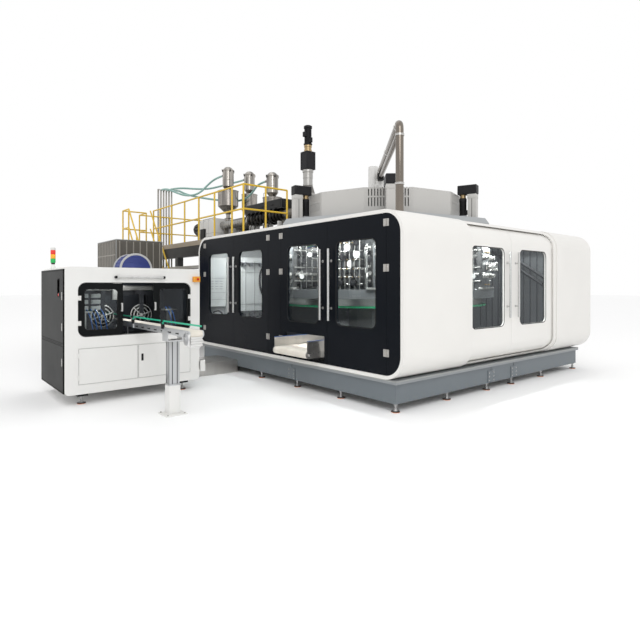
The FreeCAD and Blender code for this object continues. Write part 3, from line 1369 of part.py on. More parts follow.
def conveying_pipes():
    """Six upright pipes clamped to a bracket at the platform's left end, with stubs."""
    pipes = [rod(PIPE_X, S.pipe_deep + S.pipe_pitch * i, 0, S.pipe_radius, PIPE_TOP,
                 sides=FINE) for i in range(PIPES)]
    stubs = [rod(PIPE_X, S.pipe_deep + S.pipe_pitch * i, PIPE_TOP - S.pipe_radius,
                 S.pipe_radius, PIPE_STUB, along="x", sides=FINE) for i in range(PIPES)]
    bracket = box(PIPE_X, S.pipe_deep - S.pipe_pitch, FLOOR_LOW, FLOOR_LEFT - PIPE_X,
                  S.pipe_pitch * (PIPES + 1), S.floor_edge / 2)
    return fuse(*pipes, *stubs, bracket)


def hose(pipe, loader_number, steps):
    """One sagging hose from a pipe's stub to a loader's inlet.

    The points between were chosen by hand, as steps from the hose's start."""
    start = (PIPE_X + PIPE_STUB, S.pipe_deep + S.pipe_pitch * pipe,
             PIPE_TOP - S.pipe_radius)
    x, y, _, top, _ = HOPPERS[loader_number]
    points = [start] + [tuple(a + b for a, b in zip(start, step)) for step in steps]
    return tube(points + [inlet_mouth(x, y, top)], S.hose_radius, sides=FINE)


# which pipe, which loader, and the steps between the two ends
HOSES = [
    (1, 0, [(330, 0, 0), (680, 130, -150), (1020, 370, -300), (1320, 650, -246),
            (1400, 960, 120), (1652, 1070, 253.75)]),
    (3, 1, [(330, 0, 0), (660, 200, 10), (930, 540, -20), (1110, 920, 0),
            (1260, 1280, 120), (1400, 1560, 220), (1642, 1690, 253.75)]),
    (5, 2, [(350, 0, 0), (740, 110, -190), (1200, 380, -330), (1680, 800, -430),
            (2180, 1080, -500), (2620, 1160, -480), (2960, 1200, -330),
            (3252, 1210, -106.25)]),
]


node("conveying_pipes", conveying_pipes())
for number, route in enumerate(HOSES, start=1):
    node(f"hose_{number}", hose(*route))


# ---- trimming unit ---------------------------------------------------------------------
TRIM_FACE = -S.trim_right
TRIM_BACK = TRIM_FACE - S.trim_depth
TRIM_NEAR = -S.trim_near
TRIM_TOP = S.trim_bottom + S.trim_height
FIELD_NEAR = TRIM_NEAR + S.field_start
WAY_NEAR = FIELD_NEAR + S.near_leaf
WAY_FAR = FIELD_NEAR + S.field_width - S.far_leaf
LOWER_NEAR = FIELD_NEAR - S.door_gap
STOP_Y = TRIM_NEAR + S.trim_width - 3 * S.stop_radius
STOP_Z = TRIM_TOP - 8 * S.stop_radius
WINDOW_HINGES = [S.field_bottom + S.field_height * share - S.trim_hinge / 2
                 for share in (0.25, 0.72)]
LOWER_HINGES = [S.lower_bottom + S.lower_height * share - S.trim_hinge / 2
                for share in (0.2, 0.8)]
FIELD_FAR = FIELD_NEAR + S.field_width
LOWER_FAR = LOWER_NEAR + S.lower_near + S.lower_far
# each swing door's hinge line, in the middle of the gap beside its leaf, the way the leaf
# runs from it, and its hinge heights
HALF_GAP = S.door_gap / 4
TRIM_HINGES = [(FIELD_NEAR + HALF_GAP, 1, WINDOW_HINGES),
               (FIELD_FAR - HALF_GAP, -1, WINDOW_HINGES),
               (LOWER_NEAR + HALF_GAP, 1, LOWER_HINGES),
               (LOWER_FAR - HALF_GAP, -1, LOWER_HINGES)]


def face_hinges(line, way, heights, on_door):
    """Hinge halves on the trimming unit's face, drawn as front ones and turned to it."""
    halves = [fuse(*hinge(NO_INSET, z, way if on_door else -way, on_door, S.trim_hinge))
              for z in heights]
    return [place(group(half), TRIM_FACE, line, 0, (0, 0, 1), 90) for half in halves]


def trimmer_cabinet():
    """Round-edged cabinet, hollow, open at the front between the window doors."""
    wall = S.trim_wall
    shell = plate("yz", TRIM_BACK, TRIM_NEAR, S.trim_bottom, S.trim_depth,
                  (0, 0, S.trim_width, S.trim_height, S.trim_corner))
    cavity = box(TRIM_BACK + wall, TRIM_NEAR + wall, S.trim_bottom + wall,
                 S.trim_depth - 2 * wall, S.trim_width - 2 * wall,
                 S.trim_height - 2 * wall)
    field = plate("yz", TRIM_FACE - wall, FIELD_NEAR, S.field_bottom, wall,
                  (0, 0, S.field_width, S.field_height, S.field_corner))
    lower = box(TRIM_FACE - wall, LOWER_NEAR, S.lower_bottom, wall,
                S.lower_near + S.lower_far, S.lower_height)
    side = box(TRIM_BACK + 3 * wall, TRIM_NEAR, S.trim_bottom + 3 * wall,
               S.trim_depth - 6 * wall, wall, S.trim_height - 6 * wall)
    shelf = box(TRIM_BACK + wall, TRIM_NEAR + wall, S.side_seam - wall,
                S.trim_depth - 2 * wall - S.trim_leaf, S.trim_width - 2 * wall, wall)
    stop_box = box(TRIM_FACE, STOP_Y - 2.2 * S.stop_radius, STOP_Z - 2.2 * S.stop_radius,
                   3 * S.stop_radius, 4.4 * S.stop_radius, 4.4 * S.stop_radius)
    stop_bore = rod(TRIM_FACE + S.stop_radius, STOP_Y, STOP_Z, S.stop_radius / 2,
                    2 * S.stop_radius, along="x")
    bar_posts = [box(TRIM_FACE, TRIM_NEAR + S.trim_width * share, TRIM_TOP - 6 * wall,
                     2 * wall, 3 * wall, wall) for share in (0.33, 0.65)]
    bar = rod(TRIM_FACE + 1.5 * wall, TRIM_NEAR + S.trim_width * 0.33,
              TRIM_TOP - 5.5 * wall, wall / 2, S.trim_width * 0.32 + 3 * wall, along="y")
    far_side = TRIM_NEAR + S.trim_width
    switch = box(TRIM_FACE - 4 * wall, far_side, S.lower_bottom, 6 * wall, 3 * wall,
                 7 * wall)
    body = cut(shell, cavity, field, lower, side)
    hinges = [half for row in TRIM_HINGES for half in face_hinges(*row, False)]
    return fuse(body, shelf, cut(stop_box, stop_bore), *bar_posts, bar, switch, *hinges)


def window_door(start, width, window_start, pull_y, hinges):
    """A black window door flush in the field, with a small pull beside the opening."""
    leaf = S.trim_leaf
    field = plate("yz", TRIM_FACE - leaf, FIELD_NEAR + S.door_gap / 2,
                  S.field_bottom + S.door_gap / 2, leaf,
                  (0, 0, S.field_width - S.door_gap, S.field_height - S.door_gap,
                   S.field_corner - S.door_gap / 2))
    part = box(TRIM_FACE - leaf, start, S.field_bottom, leaf, width, S.field_height)
    window_height = S.field_height - 4 * S.field_start * 0.25
    window = plate("yz", TRIM_FACE - leaf, window_start,
                   S.field_bottom + S.field_start / 2, leaf,
                   (0, 0, S.trim_window, window_height, S.window_corner * 0.6))
    pull_z = S.field_bottom + S.field_height * 0.45
    pull = cut(box(TRIM_FACE, pull_y, pull_z, 2 * leaf, leaf, S.field_start * 0.7),
               box(TRIM_FACE, pull_y, pull_z + leaf, leaf, leaf,
                   S.field_start * 0.7 - 2 * leaf))
    return fuse(cut(common(field, part), window), pull, *face_hinges(*hinges, True))


def window_pane(window_start):
    lap = S.pane_lap / 2
    window_height = S.field_height - 4 * S.field_start * 0.25
    return box(TRIM_FACE - S.trim_leaf - S.pane_thickness, window_start - lap,
               S.field_bottom + S.field_start / 2 - lap, S.pane_thickness,
               S.trim_window + 2 * lap, window_height + 2 * lap)


NEAR_WINDOW = FIELD_NEAR + S.field_start * 0.44
FAR_WINDOW = FIELD_NEAR + S.field_width - S.field_start * 0.3 - S.trim_window
PULL_INSET = 1.6 * S.trim_leaf


def lower_door(start, width, hinges):
    """A plain lower door, flush in the cabinet's face."""
    gap = S.door_gap / 2
    leaf = box(TRIM_FACE - S.trim_leaf, start + gap, S.lower_bottom + gap, S.trim_leaf,
               width - 2 * gap, S.lower_height - 2 * gap)
    return fuse(leaf, *face_hinges(*hinges, True))


def side_leaf(bottom, height):
    """A black side door over the cabinet's near side."""
    gap = S.door_gap / 2
    return box(TRIM_BACK + gap, TRIM_NEAR - S.trim_leaf, bottom + gap,
               S.trim_depth - 2 * gap, S.trim_leaf, height - 2 * gap)


SIDE_TOP = TRIM_TOP - S.trim_corner / 2
STOP_STEM = 2 * S.stop_radius


def estop_button():
    """Mushroom button: head before its box and a stem in the bore."""
    face = TRIM_FACE + 3 * S.stop_radius
    head = rod(face + S.stop_travel + 1, STOP_Y, STOP_Z, S.stop_radius, S.stop_radius * 0.7,
               along="x")
    stem = rod(face - S.stop_radius, STOP_Y, STOP_Z, S.stop_radius / 2 - S.seat_gap,
               S.stop_radius + S.stop_travel + 1, along="x")
    return fuse(head, stem)


def signal_tower():
    """Cone foot, black ring, three lamps and a cap, on the cabinet's roof."""
    x, y = TRIM_BACK + S.trim_depth * 0.16, TRIM_NEAR + S.trim_corner + 2 * S.stop_radius
    lamp = S.stop_radius * 3.4
    rise = TRIM_TOP + lamp
    pieces = [cone(x, y, TRIM_TOP, S.stop_radius * 2, S.stop_radius, lamp)]
    for radius, height in ((1.3, 0.35), (1.75, 0.95), (1.75, 0.95), (1.75, 0.95),
                           (1.75, 0.6)):
        pieces.append(rod(x, y, rise, S.stop_radius * radius, lamp * height))
        rise = rise + lamp * height
    return fuse(*pieces)


def trimming_head():
    """Carriage with two bottle grippers and the cutter discs, on the inner shelf."""
    base_z = S.side_seam
    y = -S.outlet_deep
    x = TRIM_FACE - S.trim_depth * 0.62
    disc = S.trim_window * 0.4
    half, rise = S.carriage_width / 2, base_z + S.carriage_rise
    frame = box(x - 200, y - half, base_z, 160, S.carriage_width, 60)
    uprights = [box(x - 180, y + side, base_z + 60, 90, 90, S.carriage_rise)
                for side in (-half + 60, half - 150)]
    beam = box(x - 180, y - half + 60, rise, 120, S.carriage_width - 120, 90)
    arms = [box(x - 60, y + side, rise + 20, 260, 60, 60) for side in (-330, 270)]
    arms += [box(x + 120, y + side, rise - 280, 60, 60, 300) for side in (-330, 270)]
    discs = [rod(x + 130, y + side, rise - 310, disc, 14, along="x")
             for side in (-300, 300)]
    return fuse(frame, *uprights, beam, *arms, *discs)


def outlet_conveyor():
    """Side plates and drums of the outlet belt, green guide, and the stand."""
    y, top = -S.outlet_deep, S.outlet_top
    half = S.outlet_width / 2
    depth = half
    run = S.outlet_start - S.outlet_end
    plates = [plate("xz", -S.outlet_start, side, top - depth, S.side_plate,
                    (0, 0, run, depth, depth * 0.45))
              for side in (y - half - S.side_plate, y + half)]
    drums = [rod(x, y - half, top - depth / 2, depth / 2 - S.belt_thickness - S.seat_gap,
                 S.outlet_width, along="y")
             for x in (-S.outlet_start + depth / 2, -S.outlet_end - depth / 2)]
    nose = box(-S.outlet_end - depth * 1.5, y - half - 2 * S.side_plate,
               top - depth * 2.2, depth * 1.5, S.side_plate, depth * 1.7)
    guide_z = top + half * 0.9
    guide = box(-S.outlet_start + depth, y - half - 2 * S.side_plate, guide_z,
                S.outlet_start - S.guide_end - depth, S.side_plate, S.side_plate * 1.5)
    brackets = [box(-S.outlet_start + run * share, y - half - 2 * S.side_plate,
                    top - depth, S.side_plate * 2, S.side_plate, guide_z - top + depth)
                for share in (0.33, 0.72)]
    x = -S.stand_left
    plate_side = S.stand_base
    foot_plate = box(x - plate_side / 2, y - plate_side / 2, 0, plate_side, plate_side,
                     S.side_plate)
    lower = box(x - half * 0.9, y - half * 0.9, S.side_plate, half * 1.8, half * 1.8,
                S.stand_lower - S.side_plate)
    upper = box(x - half * 0.8, y - half * 0.8, S.stand_lower, half * 1.6, half * 1.6,
                top - depth * 2.2 - S.stand_lower)
    cradle = cut(box(x - half, y - half - 2 * S.side_plate, top - depth * 2.2,
                     2 * half, S.outlet_width + 4 * S.side_plate, depth * 1.7),
                 box(x - half, y - half - S.side_plate, top - depth * 2,
                     2 * half, S.outlet_width + 2 * S.side_plate, depth * 2))
    inner_legs = [box(-S.outlet_start + depth, side, S.side_seam, depth, S.side_plate,
                      top - depth / 2 - S.side_seam)
                  for side in (y - half - S.side_plate, y + half)]
    return fuse(*plates, *drums, nose, guide, *brackets, foot_plate, lower, upper, cradle,
                *inner_legs)


def outlet_belt():
    gap = BELT_SIDE_GAP
    depth = S.outlet_width / 2
    run = S.outlet_start - S.outlet_end
    wall = S.belt_thickness
    return plate("xz", -S.outlet_start, -S.outlet_deep - S.outlet_width / 2 + gap,
                 S.outlet_top - depth, S.outlet_width - 2 * gap,
                 (0, 0, run, depth, depth * 0.45),
                 [(wall, wall, run - 2 * wall, depth - 2 * wall, depth * 0.45 - wall)])


node("trimmer_cabinet", trimmer_cabinet())
node("trimmer_window_door_1", window_door(FIELD_NEAR, S.near_leaf, NEAR_WINDOW,
                                          WAY_NEAR - PULL_INSET, TRIM_HINGES[0]))
node("trimmer_window_door_2", window_door(WAY_FAR, S.far_leaf, FAR_WINDOW,
                                          WAY_FAR + PULL_INSET - S.trim_leaf,
                                          TRIM_HINGES[1]))
node("trimmer_glass_1", window_pane(NEAR_WINDOW))
node("trimmer_glass_2", window_pane(FAR_WINDOW))
node("trimmer_lower_door_1", lower_door(LOWER_NEAR, S.lower_near, TRIM_HINGES[2]))
node("trimmer_lower_door_2", lower_door(LOWER_NEAR + S.lower_near, S.lower_far,
                                        TRIM_HINGES[3]))
node("trimmer_side_door_1", side_leaf(S.side_seam, SIDE_TOP - S.side_seam))
node("trimmer_side_door_2", side_leaf(S.trim_bottom + S.trim_corner / 2,
                                      S.side_seam - S.trim_bottom - S.trim_corner / 2))
node("estop_button", estop_button())
node("signal_tower", signal_tower())
node("trimming_head", trimming_head())
node("outlet_conveyor", outlet_conveyor())
node("outlet_belt", outlet_belt())


# ---- granulator and its lift conveyor --------------------------------------------------
def granulator():
    """Scrap lift conveyor with its round head, and the granulator under a hood."""
    x, y = -S.lift_left, -S.lift_near
    radius, half = S.lift_drum, S.lift_width / 2
    z = S.lift_height
    head = rod(x - half, y, z, radius, S.lift_width, along="x", sides=ROUND * 2)
    cheeks = [prism(x + side, y, z, ROUND * 2, radius * 1.08, S.side_plate, along="x")
              for side in (-half - S.side_plate, half)]
    lean = math.degrees(math.atan2(z.value, 3 * S.lift_width.value))
    run = box(0, 0, 0, S.lift_width, radius * 0.9, z * 1.1)
    place(run, x - half, y - radius * 0.9, z, (1, 0, 0), 180 + 90 - lean)
    floor_keep = box(x - half - radius, y - 4 * S.lift_width, 0, 2 * half + 2 * radius,
                     8 * S.lift_width, z)
    motor = rod(x - half - S.lift_width * 0.9, y, z, radius * 0.28, S.lift_width * 0.9,
                along="x")
    mill_x, mill_y = x - 3.2 * S.lift_width, y + radius
    side = 2.6 * S.lift_width
    mill = box(mill_x - side / 2, mill_y - side / 2, 0, side, side, z * 0.8)
    hood = box(mill_x - side / 2, mill_y - side / 2, z * 0.8, side * 1.3, side,
               S.mill_top - z * 0.8)
    legs = [box(x + end, y - S.side_plate, 0, S.side_plate * 4, S.side_plate * 4, z)
            for end in (-half - S.side_plate * 5, half + S.side_plate)]
    return fuse(head, *cheeks, common(run, floor_keep), motor, *legs, mill, hood)


node("granulator", granulator())


# ---- check and write -------------------------------------------------------------------
doc.recompute()
for obj in doc.Objects:
    if "Invalid" in obj.State or "Error" in obj.State:
        raise RuntimeError(f"{obj.Name} did not recompute: {obj.State}")
for obj in NODES:
    if obj.Shape.isNull() or not obj.Shape.isValid():
        raise RuntimeError(f"{obj.Label} has no valid shape")
os.makedirs("parts", exist_ok=True)
for obj in NODES:
    obj.Shape.exportStep(f"parts/{obj.Label}.step")
print(f"{len(NODES)} sub-parts written")
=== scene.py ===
"""Dresses the blow moulding machine: paint, steel, glass and the fittings on its solids."""
import math

import bmesh
import bpy
from mathutils import Matrix, Vector


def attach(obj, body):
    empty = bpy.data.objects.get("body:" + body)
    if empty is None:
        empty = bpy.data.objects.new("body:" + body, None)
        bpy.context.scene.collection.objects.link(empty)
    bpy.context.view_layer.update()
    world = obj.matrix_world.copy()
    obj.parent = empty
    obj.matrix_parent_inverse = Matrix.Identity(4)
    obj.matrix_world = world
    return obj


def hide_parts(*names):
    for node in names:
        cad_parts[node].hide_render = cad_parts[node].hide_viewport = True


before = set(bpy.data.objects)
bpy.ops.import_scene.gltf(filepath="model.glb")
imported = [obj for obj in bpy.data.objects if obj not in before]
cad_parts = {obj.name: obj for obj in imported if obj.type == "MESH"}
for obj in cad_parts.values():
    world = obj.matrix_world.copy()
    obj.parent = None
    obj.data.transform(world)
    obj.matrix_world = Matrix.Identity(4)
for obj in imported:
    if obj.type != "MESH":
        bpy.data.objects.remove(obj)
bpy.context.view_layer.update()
bpy.ops.object.select_all(action="DESELECT")


# ---- the machine's own frame: zero at the enclosure's near right corner, in millimetres
SHIFT = Vector((5.729, -1.246, 0.0))
# the carousel: its axis, the first station's heading, the lift drives and the ram rods
CENTRE_X, CENTRE_Y = -2830, 2590
STATION_TURN = -41.5
LIFT_OUT, RAM_Z = 1682, 1980


def X(mm):
    return mm / 1000 + SHIFT.x


def Y(mm):
    return mm / 1000 + SHIFT.y


def Z(mm):
    return mm / 1000


def at(x, y, z):
    """A point of the machine's own frame, in millimetres, as a point of the scene."""
    return Vector((X(x), Y(y), Z(z)))


# ---- shader sockets as numbers ---------------------------------------------------------
class Wire:
    """A shader socket that takes part in Python sums by adding Math nodes."""

    def __init__(self, paint, socket):
        self.paint, self.socket = paint, socket

    def math(self, operation, *values, clamp=False):
        return self.paint.node("ShaderNodeMath", {"operation": operation, "use_clamp": clamp},
                               {i: value for i, value in enumerate(values)})

    def __rsub__(self, other):
        return self.math("SUBTRACT", other, self)

    def __abs__(self):
        return self.math("ABSOLUTE", self)

    def wave(self, pitch):
        """A ridge that repeats each pitch, from 0 to 1."""
        return self.math("SINE", self * (2 * math.pi / pitch)) * 0.5 + 0.5

    def near(self, middle, reach):
        """1 within reach of a value and 0 outside."""
        return self.math("COMPARE", self, middle, reach)

    def rise(self, low, high):
        """0 below low, 1 above high, straight between."""
        return self.math("MULTIPLY_ADD", self, 1 / (high - low), -low / (high - low),
                         clamp=True)


def operate(operation):
    return lambda self, other: self.math(operation, self, other)


for sign, operation in (("add", "ADD"), ("radd", "ADD"), ("sub", "SUBTRACT"),
                        ("mul", "MULTIPLY"), ("rmul", "MULTIPLY"), ("truediv", "DIVIDE"),
                        ("gt", "GREATER_THAN"), ("lt", "LESS_THAN"), ("or", "MAXIMUM"),
                        ("and", "MULTIPLY")):
    setattr(Wire, f"__{sign}__", operate(operation))


class Paint:
    """One procedural finish: a Principled shader and the nodes that feed it."""

    def __init__(self, name):
        self.material = bpy.data.materials.new(name)
        self.material.use_nodes = True
        self.tree = self.material.node_tree
        self.shader = self.tree.nodes["Principled BSDF"]
        place = self.tree.nodes.new("ShaderNodeTexCoord")
        self.point = Wire(self, place.outputs["Object"])
        split = self.tree.nodes.new("ShaderNodeSeparateXYZ")
        self.tree.links.new(place.outputs["Object"], split.inputs[0])
        self.x, self.y, self.z = (Wire(self, output) for output in split.outputs)

    def feed(self, socket, value):
        if isinstance(value, Wire):
            self.tree.links.new(value.socket, socket)
        elif hasattr(socket.default_value, "__len__") and len(socket.default_value) == 4:
            socket.default_value = (*value, 1.0) if len(value) == 3 else value
        else:
            socket.default_value = value

    def node(self, kind, settings, inputs, output=0):
        made = self.tree.nodes.new(kind)
        for key, value in settings.items():
            if key == "stops":
                ramp = made.color_ramp
                for i, (place, shade) in enumerate(value):
                    stop = ramp.elements[i] if i < 2 else ramp.elements.new(place)
                    stop.position, stop.color = place, (*shade, 1.0)
            else:
                setattr(made, key, value)
        for key, value in inputs.items():
            self.feed(made.inputs[key], value)
        return Wire(self, made.outputs[output])

    def stretched(self, stretch):
        return self.node("ShaderNodeMapping", {}, {"Vector": self.point, "Scale": stretch})

    def noise(self, scale, detail=3.0, stretch=(1, 1, 1), roughness=0.55):
        return self.node("ShaderNodeTexNoise", {},
                         {"Vector": self.stretched(stretch), "Scale": scale,
                          "Detail": detail, "Roughness": roughness})

    def cells(self, scale, stretch=(1, 1, 1)):
        return self.node("ShaderNodeTexVoronoi", {},
                         {"Vector": self.stretched(stretch), "Scale": scale})

    def mix(self, mask, first, second):
        """Colour first where the mask is 0 and second where it is 1."""
        return self.node("ShaderNodeMix", {"data_type": "RGBA"},
                         {0: mask, 6: first, 7: second}, output=2)

    def shade(self, mask, low, high):
        """Between two numbers, by a mask."""
        return mask * (high - low) + low

    def tinted(self, colour, tones):
        """The colour, with each tone laid over it where its mask is 1."""
        for mask, tone in tones:
            colour = self.mix(mask, colour, tone)
        return colour

    def bump(self, height, strength, distance):
        return self.node("ShaderNodeBump", {}, {"Height": height, "Strength": strength,
                                                "Distance": distance})

    def set(self, **values):
        for key, value in values.items():
            self.feed(self.shader.inputs[key.replace("_", " ").title().replace("Ior", "IOR")],
                      value)
        return self


# a corner this far out leaves its side of a box open
FAR = 100000


def box_mask(paint, low, high):
    """1 inside a box of the machine's frame, given by two corners in millimetres."""
    a, b = at(*low), at(*high)
    mask = None
    for axis, wire in enumerate((paint.x, paint.y, paint.z)):
        if abs(low[axis]) < FAR or abs(high[axis]) < FAR:
            inside = wire.near((a[axis] + b[axis]) / 2, abs(b[axis] - a[axis]) / 2)
            mask = inside if mask is None else mask & inside
    return mask


# ---- finishes --------------------------------------------------------------------------
WHITE = (0.78, 0.765, 0.735)
STEEL = (0.60, 0.585, 0.56)


def lacquer(name, colour, roughness=0.32, peel=0.0006, metallic=0.0, shade=0.92, gloss=None):
    """Sprayed paint: faint clouding, fine orange peel, duller where it was touched."""
    paint = Paint(name)
    cloud = paint.noise(1.7, 4)
    peel_height = paint.noise(160, 2)
    tone = tuple(c * shade for c in colour)
    paint.set(base_color=paint.mix(cloud, tone, colour),
              roughness=paint.shade(cloud, roughness - 0.04, roughness + 0.04),
              metallic=metallic, normal=paint.bump(peel_height, 0.12, peel),
              specular_ior_level=gloss or (0.14 if max(colour) < 0.06 else 0.4))
    return paint


def brushed(name, colour=STEEL, stretch=(1, 1, 24), roughness=0.3, scale=34, depth=0.8):
    """Brushed stainless steel: long fine scratches along one way, slight colour change, and
    long upright dark streaks that are painted reflection.
    """
    paint = Paint(name)
    grain = paint.noise(scale, 4, stretch=stretch)
    stain = paint.noise(1.3, 3)
    dark = tuple(c * 0.72 for c in colour)
    # long upright dark streaks, as dark as depth sets: painted reflection of the surroundings
    streak = paint.noise(9, 3, stretch=(1, 1, 0.06)).rise(0.42, 0.62)
    body = paint.mix(stain, dark, colour)
    deep = tuple(c * depth for c in colour)
    paint.set(base_color=paint.mix(streak, body, deep), metallic=0.92,
              roughness=paint.shade(grain, roughness - 0.08, roughness + 0.12),
              normal=paint.bump(grain, 0.10, 0.0008))
    return paint


def cover_white():
    """Warm white outside; inside near-black as painted shade, with a pale left wall and a grey
    rear wall.
    """
    paint = Paint("cover white")
    # past the straight part of the rounded outline, across and upwards
    across = (abs(paint.x - X(CENTRE_X)) - 2.5) | 0.0
    upright = (abs(paint.z - Z(1530)) - 0.78) | 0.0
    inner = ((across * across + upright * upright < 0.3125 ** 2)
             & paint.y.near(Y(2846), 2.784) & (paint.x < X(-230)))
    cloud, peel = paint.noise(1.7, 4), paint.noise(160, 2)
    outer = paint.mix(cloud, tuple(c * 0.93 for c in WHITE), WHITE)
    # the covers' inside is painted near-black: painted shade inside the enclosure
    lining = paint.mix(cloud, (0.020, 0.022, 0.025), (0.042, 0.045, 0.048))
    left = (paint.x < X(-5590)) & (paint.y < Y(2150))
    lining = paint.tinted(lining, [
        (left, paint.mix(cloud, (0.26, 0.265, 0.265), (0.40, 0.405, 0.40))),
        (paint.y > Y(5590), paint.mix(cloud, (0.07, 0.075, 0.08), (0.13, 0.135, 0.14)))])
    paint.set(base_color=paint.mix(inner, outer, lining),
              roughness=paint.shade(cloud, 0.32, 0.42), normal=paint.bump(peel, 0.12, 0.0006))
    return paint


def front_black():
    """Satin black doors; hinges and bar handles that stand before the leaf are steel."""
    paint = Paint("front black")
    fitting = paint.y < Y(-0.5)
    handle = paint.y < Y(-20)
    cloud, peel, cast = paint.noise(0.9, 4), paint.noise(160, 2), paint.noise(60, 3)
    leaf = paint.mix(cloud, (0.004, 0.005, 0.007), (0.008, 0.010, 0.014))
    hinge = paint.mix(cast, (0.34, 0.33, 0.31), (0.62, 0.60, 0.57))
    colour = paint.mix(fitting, leaf, paint.mix(handle, hinge, (0.72, 0.72, 0.70)))
    paint.set(base_color=colour, metallic=fitting * 0.8,
              roughness=paint.shade(fitting, 0.22, 0.36) + cloud * 0.08,
              specular_ior_level=0.07, normal=paint.bump(peel, 0.10, 0.0005))
    return paint


def door_white():
    """The white sliding doors and, out past them, their pale steel bar handles."""
    paint = Paint("sliding door white")
    handle = paint.x > X(-49.4)
    cloud, peel = paint.noise(1.1, 4), paint.noise(150, 2)
    leaf = paint.mix(cloud, tuple(c * 0.95 for c in WHITE), WHITE)
    paint.set(base_color=paint.mix(handle, leaf, (0.70, 0.70, 0.69)),
              metallic=handle * 0.7, roughness=paint.shade(handle, 0.34, 0.3),
              normal=paint.bump(peel, 0.10, 0.0006))
    return paint


def clear_pane():
    """Window pane: mostly clear, mirror-bright at a low angle."""
    paint = Paint("window pane")
    tree = paint.tree
    gloss = paint.node("ShaderNodeBsdfGlossy", {}, {"Color": (0.9, 0.95, 1.0),
                                                    "Roughness": 0.04})
    clear = paint.node("ShaderNodeBsdfTransparent", {}, {"Color": (0.90, 0.93, 0.93)})
    edge = paint.node("ShaderNodeFresnel", {}, {"IOR": 1.38})
    inner = paint.node("ShaderNodeNewGeometry", {}, {}, "Backfacing")
    smear = paint.noise(2.2, 4)
    blend = tree.nodes.new("ShaderNodeMixShader")
    paint.feed(blend.inputs[0], (edge * 0.7 + smear * 0.02) * (1 - inner))
    tree.links.new(clear.socket, blend.inputs[1])
    tree.links.new(gloss.socket, blend.inputs[2])
    tree.links.new(blend.outputs[0], tree.nodes["Material Output"].inputs["Surface"])
    return paint


def feet():
    """Chromed studs and cones on dark pads with an orange underside."""
    paint = Paint("levelling foot")
    orange, pad = paint.z < 0.008, paint.z < 0.0215
    grain = paint.noise(80, 3)
    colour = paint.mix(pad, (0.42, 0.42, 0.42),
                       paint.mix(orange, (0.030, 0.030, 0.030), (0.80, 0.28, 0.08)))
    paint.set(base_color=colour, metallic=(1 - pad) * 0.9,
              roughness=paint.shade(grain, 0.25, 0.5),
              normal=paint.bump(grain, 0.15, 0.0006))
    return paint


def belt_cloth():
    """Cream belt with a fine woven face."""
    paint = Paint("cream belt")
    weave = paint.x.wave(0.004) * paint.y.wave(0.004)
    dirt = paint.noise(7, 4)
    paint.set(base_color=paint.mix(dirt, (0.62, 0.57, 0.49), (0.80, 0.76, 0.69)),
              roughness=0.72, normal=paint.bump(weave, 0.2, 0.0006))
    return paint


def tower_drives():
    """Black drives: brass coupling between motor and belt housing, cooling ribs below."""
    paint = Paint("lift drive")
    brass = paint.z.near(Z(3277), Z(31))
    ribbed = paint.z.near(Z(3080), Z(120))
    ribs = paint.z.wave(0.02) * ribbed
    grain = paint.noise(90, 3)
    colour = paint.mix(brass, (0.012, 0.012, 0.013), (0.40, 0.30, 0.17))
    paint.set(base_color=colour, metallic=brass * 0.9,
              roughness=paint.shade(grain, 0.30, 0.46),
              normal=paint.bump(ribs + grain * 0.05, 0.6, 0.004))
    return paint


def servo():
    """Parison servo: silver lantern, black gearbox, brass ring, black ribbed motor."""
    paint = Paint("parison servo")
    silver, brass = paint.z < Z(4398), paint.z.near(Z(4910), Z(80))
    ribs = paint.z.wave(0.028) * (paint.z > Z(4995))
    grain = paint.noise(60, 3)
    dark = paint.mix(brass, (0.014, 0.014, 0.016), (0.40, 0.30, 0.17))
    paint.set(base_color=paint.mix(silver, dark, (0.56, 0.55, 0.53)),
              metallic=(silver | brass) * 0.85, roughness=paint.shade(grain, 0.28, 0.44),
              normal=paint.bump(ribs + grain * 0.05, 0.5, 0.005))
    return paint


def platform_finish():
    """Beige edge, chequer plate on top, black beams, pale ties and dark legs."""
    paint = Paint("platform")
    edge = paint.z > Z(2642)
    top = paint.z > Z(2759)
    beam = paint.z.near(Z(2512), Z(131))
    tie = paint.z.near(Z(2110), Z(42))
    stair = paint.y < Y(749)
    dirt, plate = paint.noise(2.4, 5), paint.cells(38, stretch=(1, 1.8, 1))
    legs = paint.mix(dirt, (0.035, 0.036, 0.038), (0.07, 0.07, 0.07))
    low = paint.mix(tie, paint.mix(beam, legs, (0.010, 0.010, 0.011)), (0.46, 0.44, 0.40))
    rim = paint.mix(top, paint.mix(dirt, (0.26, 0.21, 0.15), (0.38, 0.32, 0.24)),
                    (0.30, 0.30, 0.29))
    colour = paint.mix(edge, paint.mix(stair, low, (0.34, 0.34, 0.33)), rim)
    paint.set(base_color=colour, metallic=top * 0.5, roughness=paint.shade(dirt, 0.42, 0.62),
              normal=paint.bump(plate * top + dirt * 0.1, 0.3, 0.003))
    return paint


def extruder_finish():
    """Pale gearboxes, black motors and covers, dark heat guards, brown-grey bases."""
    paint = Paint("extruder")
    gearbox = box_mask(paint, (-10252, -FAR, 2760), (-9299, FAR, 3662))
    motor = box_mask(paint, (-10960, -FAR, 2760), (-10251, FAR, FAR))
    cover = box_mask(paint, (-7702, -FAR, 3575), (-5998, FAR, 3900))
    guard = box_mask(paint, (-7690, -FAR, 3290), (-5998, FAR, 3574))
    grain, stain = paint.noise(110, 2), paint.noise(1.6, 4)
    fins = paint.y.wave(0.03) * motor
    colour = paint.tinted(
        paint.mix(stain, (0.10, 0.092, 0.08), (0.17, 0.155, 0.135)),
        [(gearbox, (0.60, 0.60, 0.58)), (motor, (0.018, 0.018, 0.02)),
         (cover, (0.012, 0.012, 0.013)), (guard, (0.06, 0.057, 0.053))])
    paint.set(base_color=colour, roughness=paint.shade(grain, 0.22, 0.4),
              normal=paint.bump(grain * 0.1 + fins, 0.25, 0.002))
    return paint


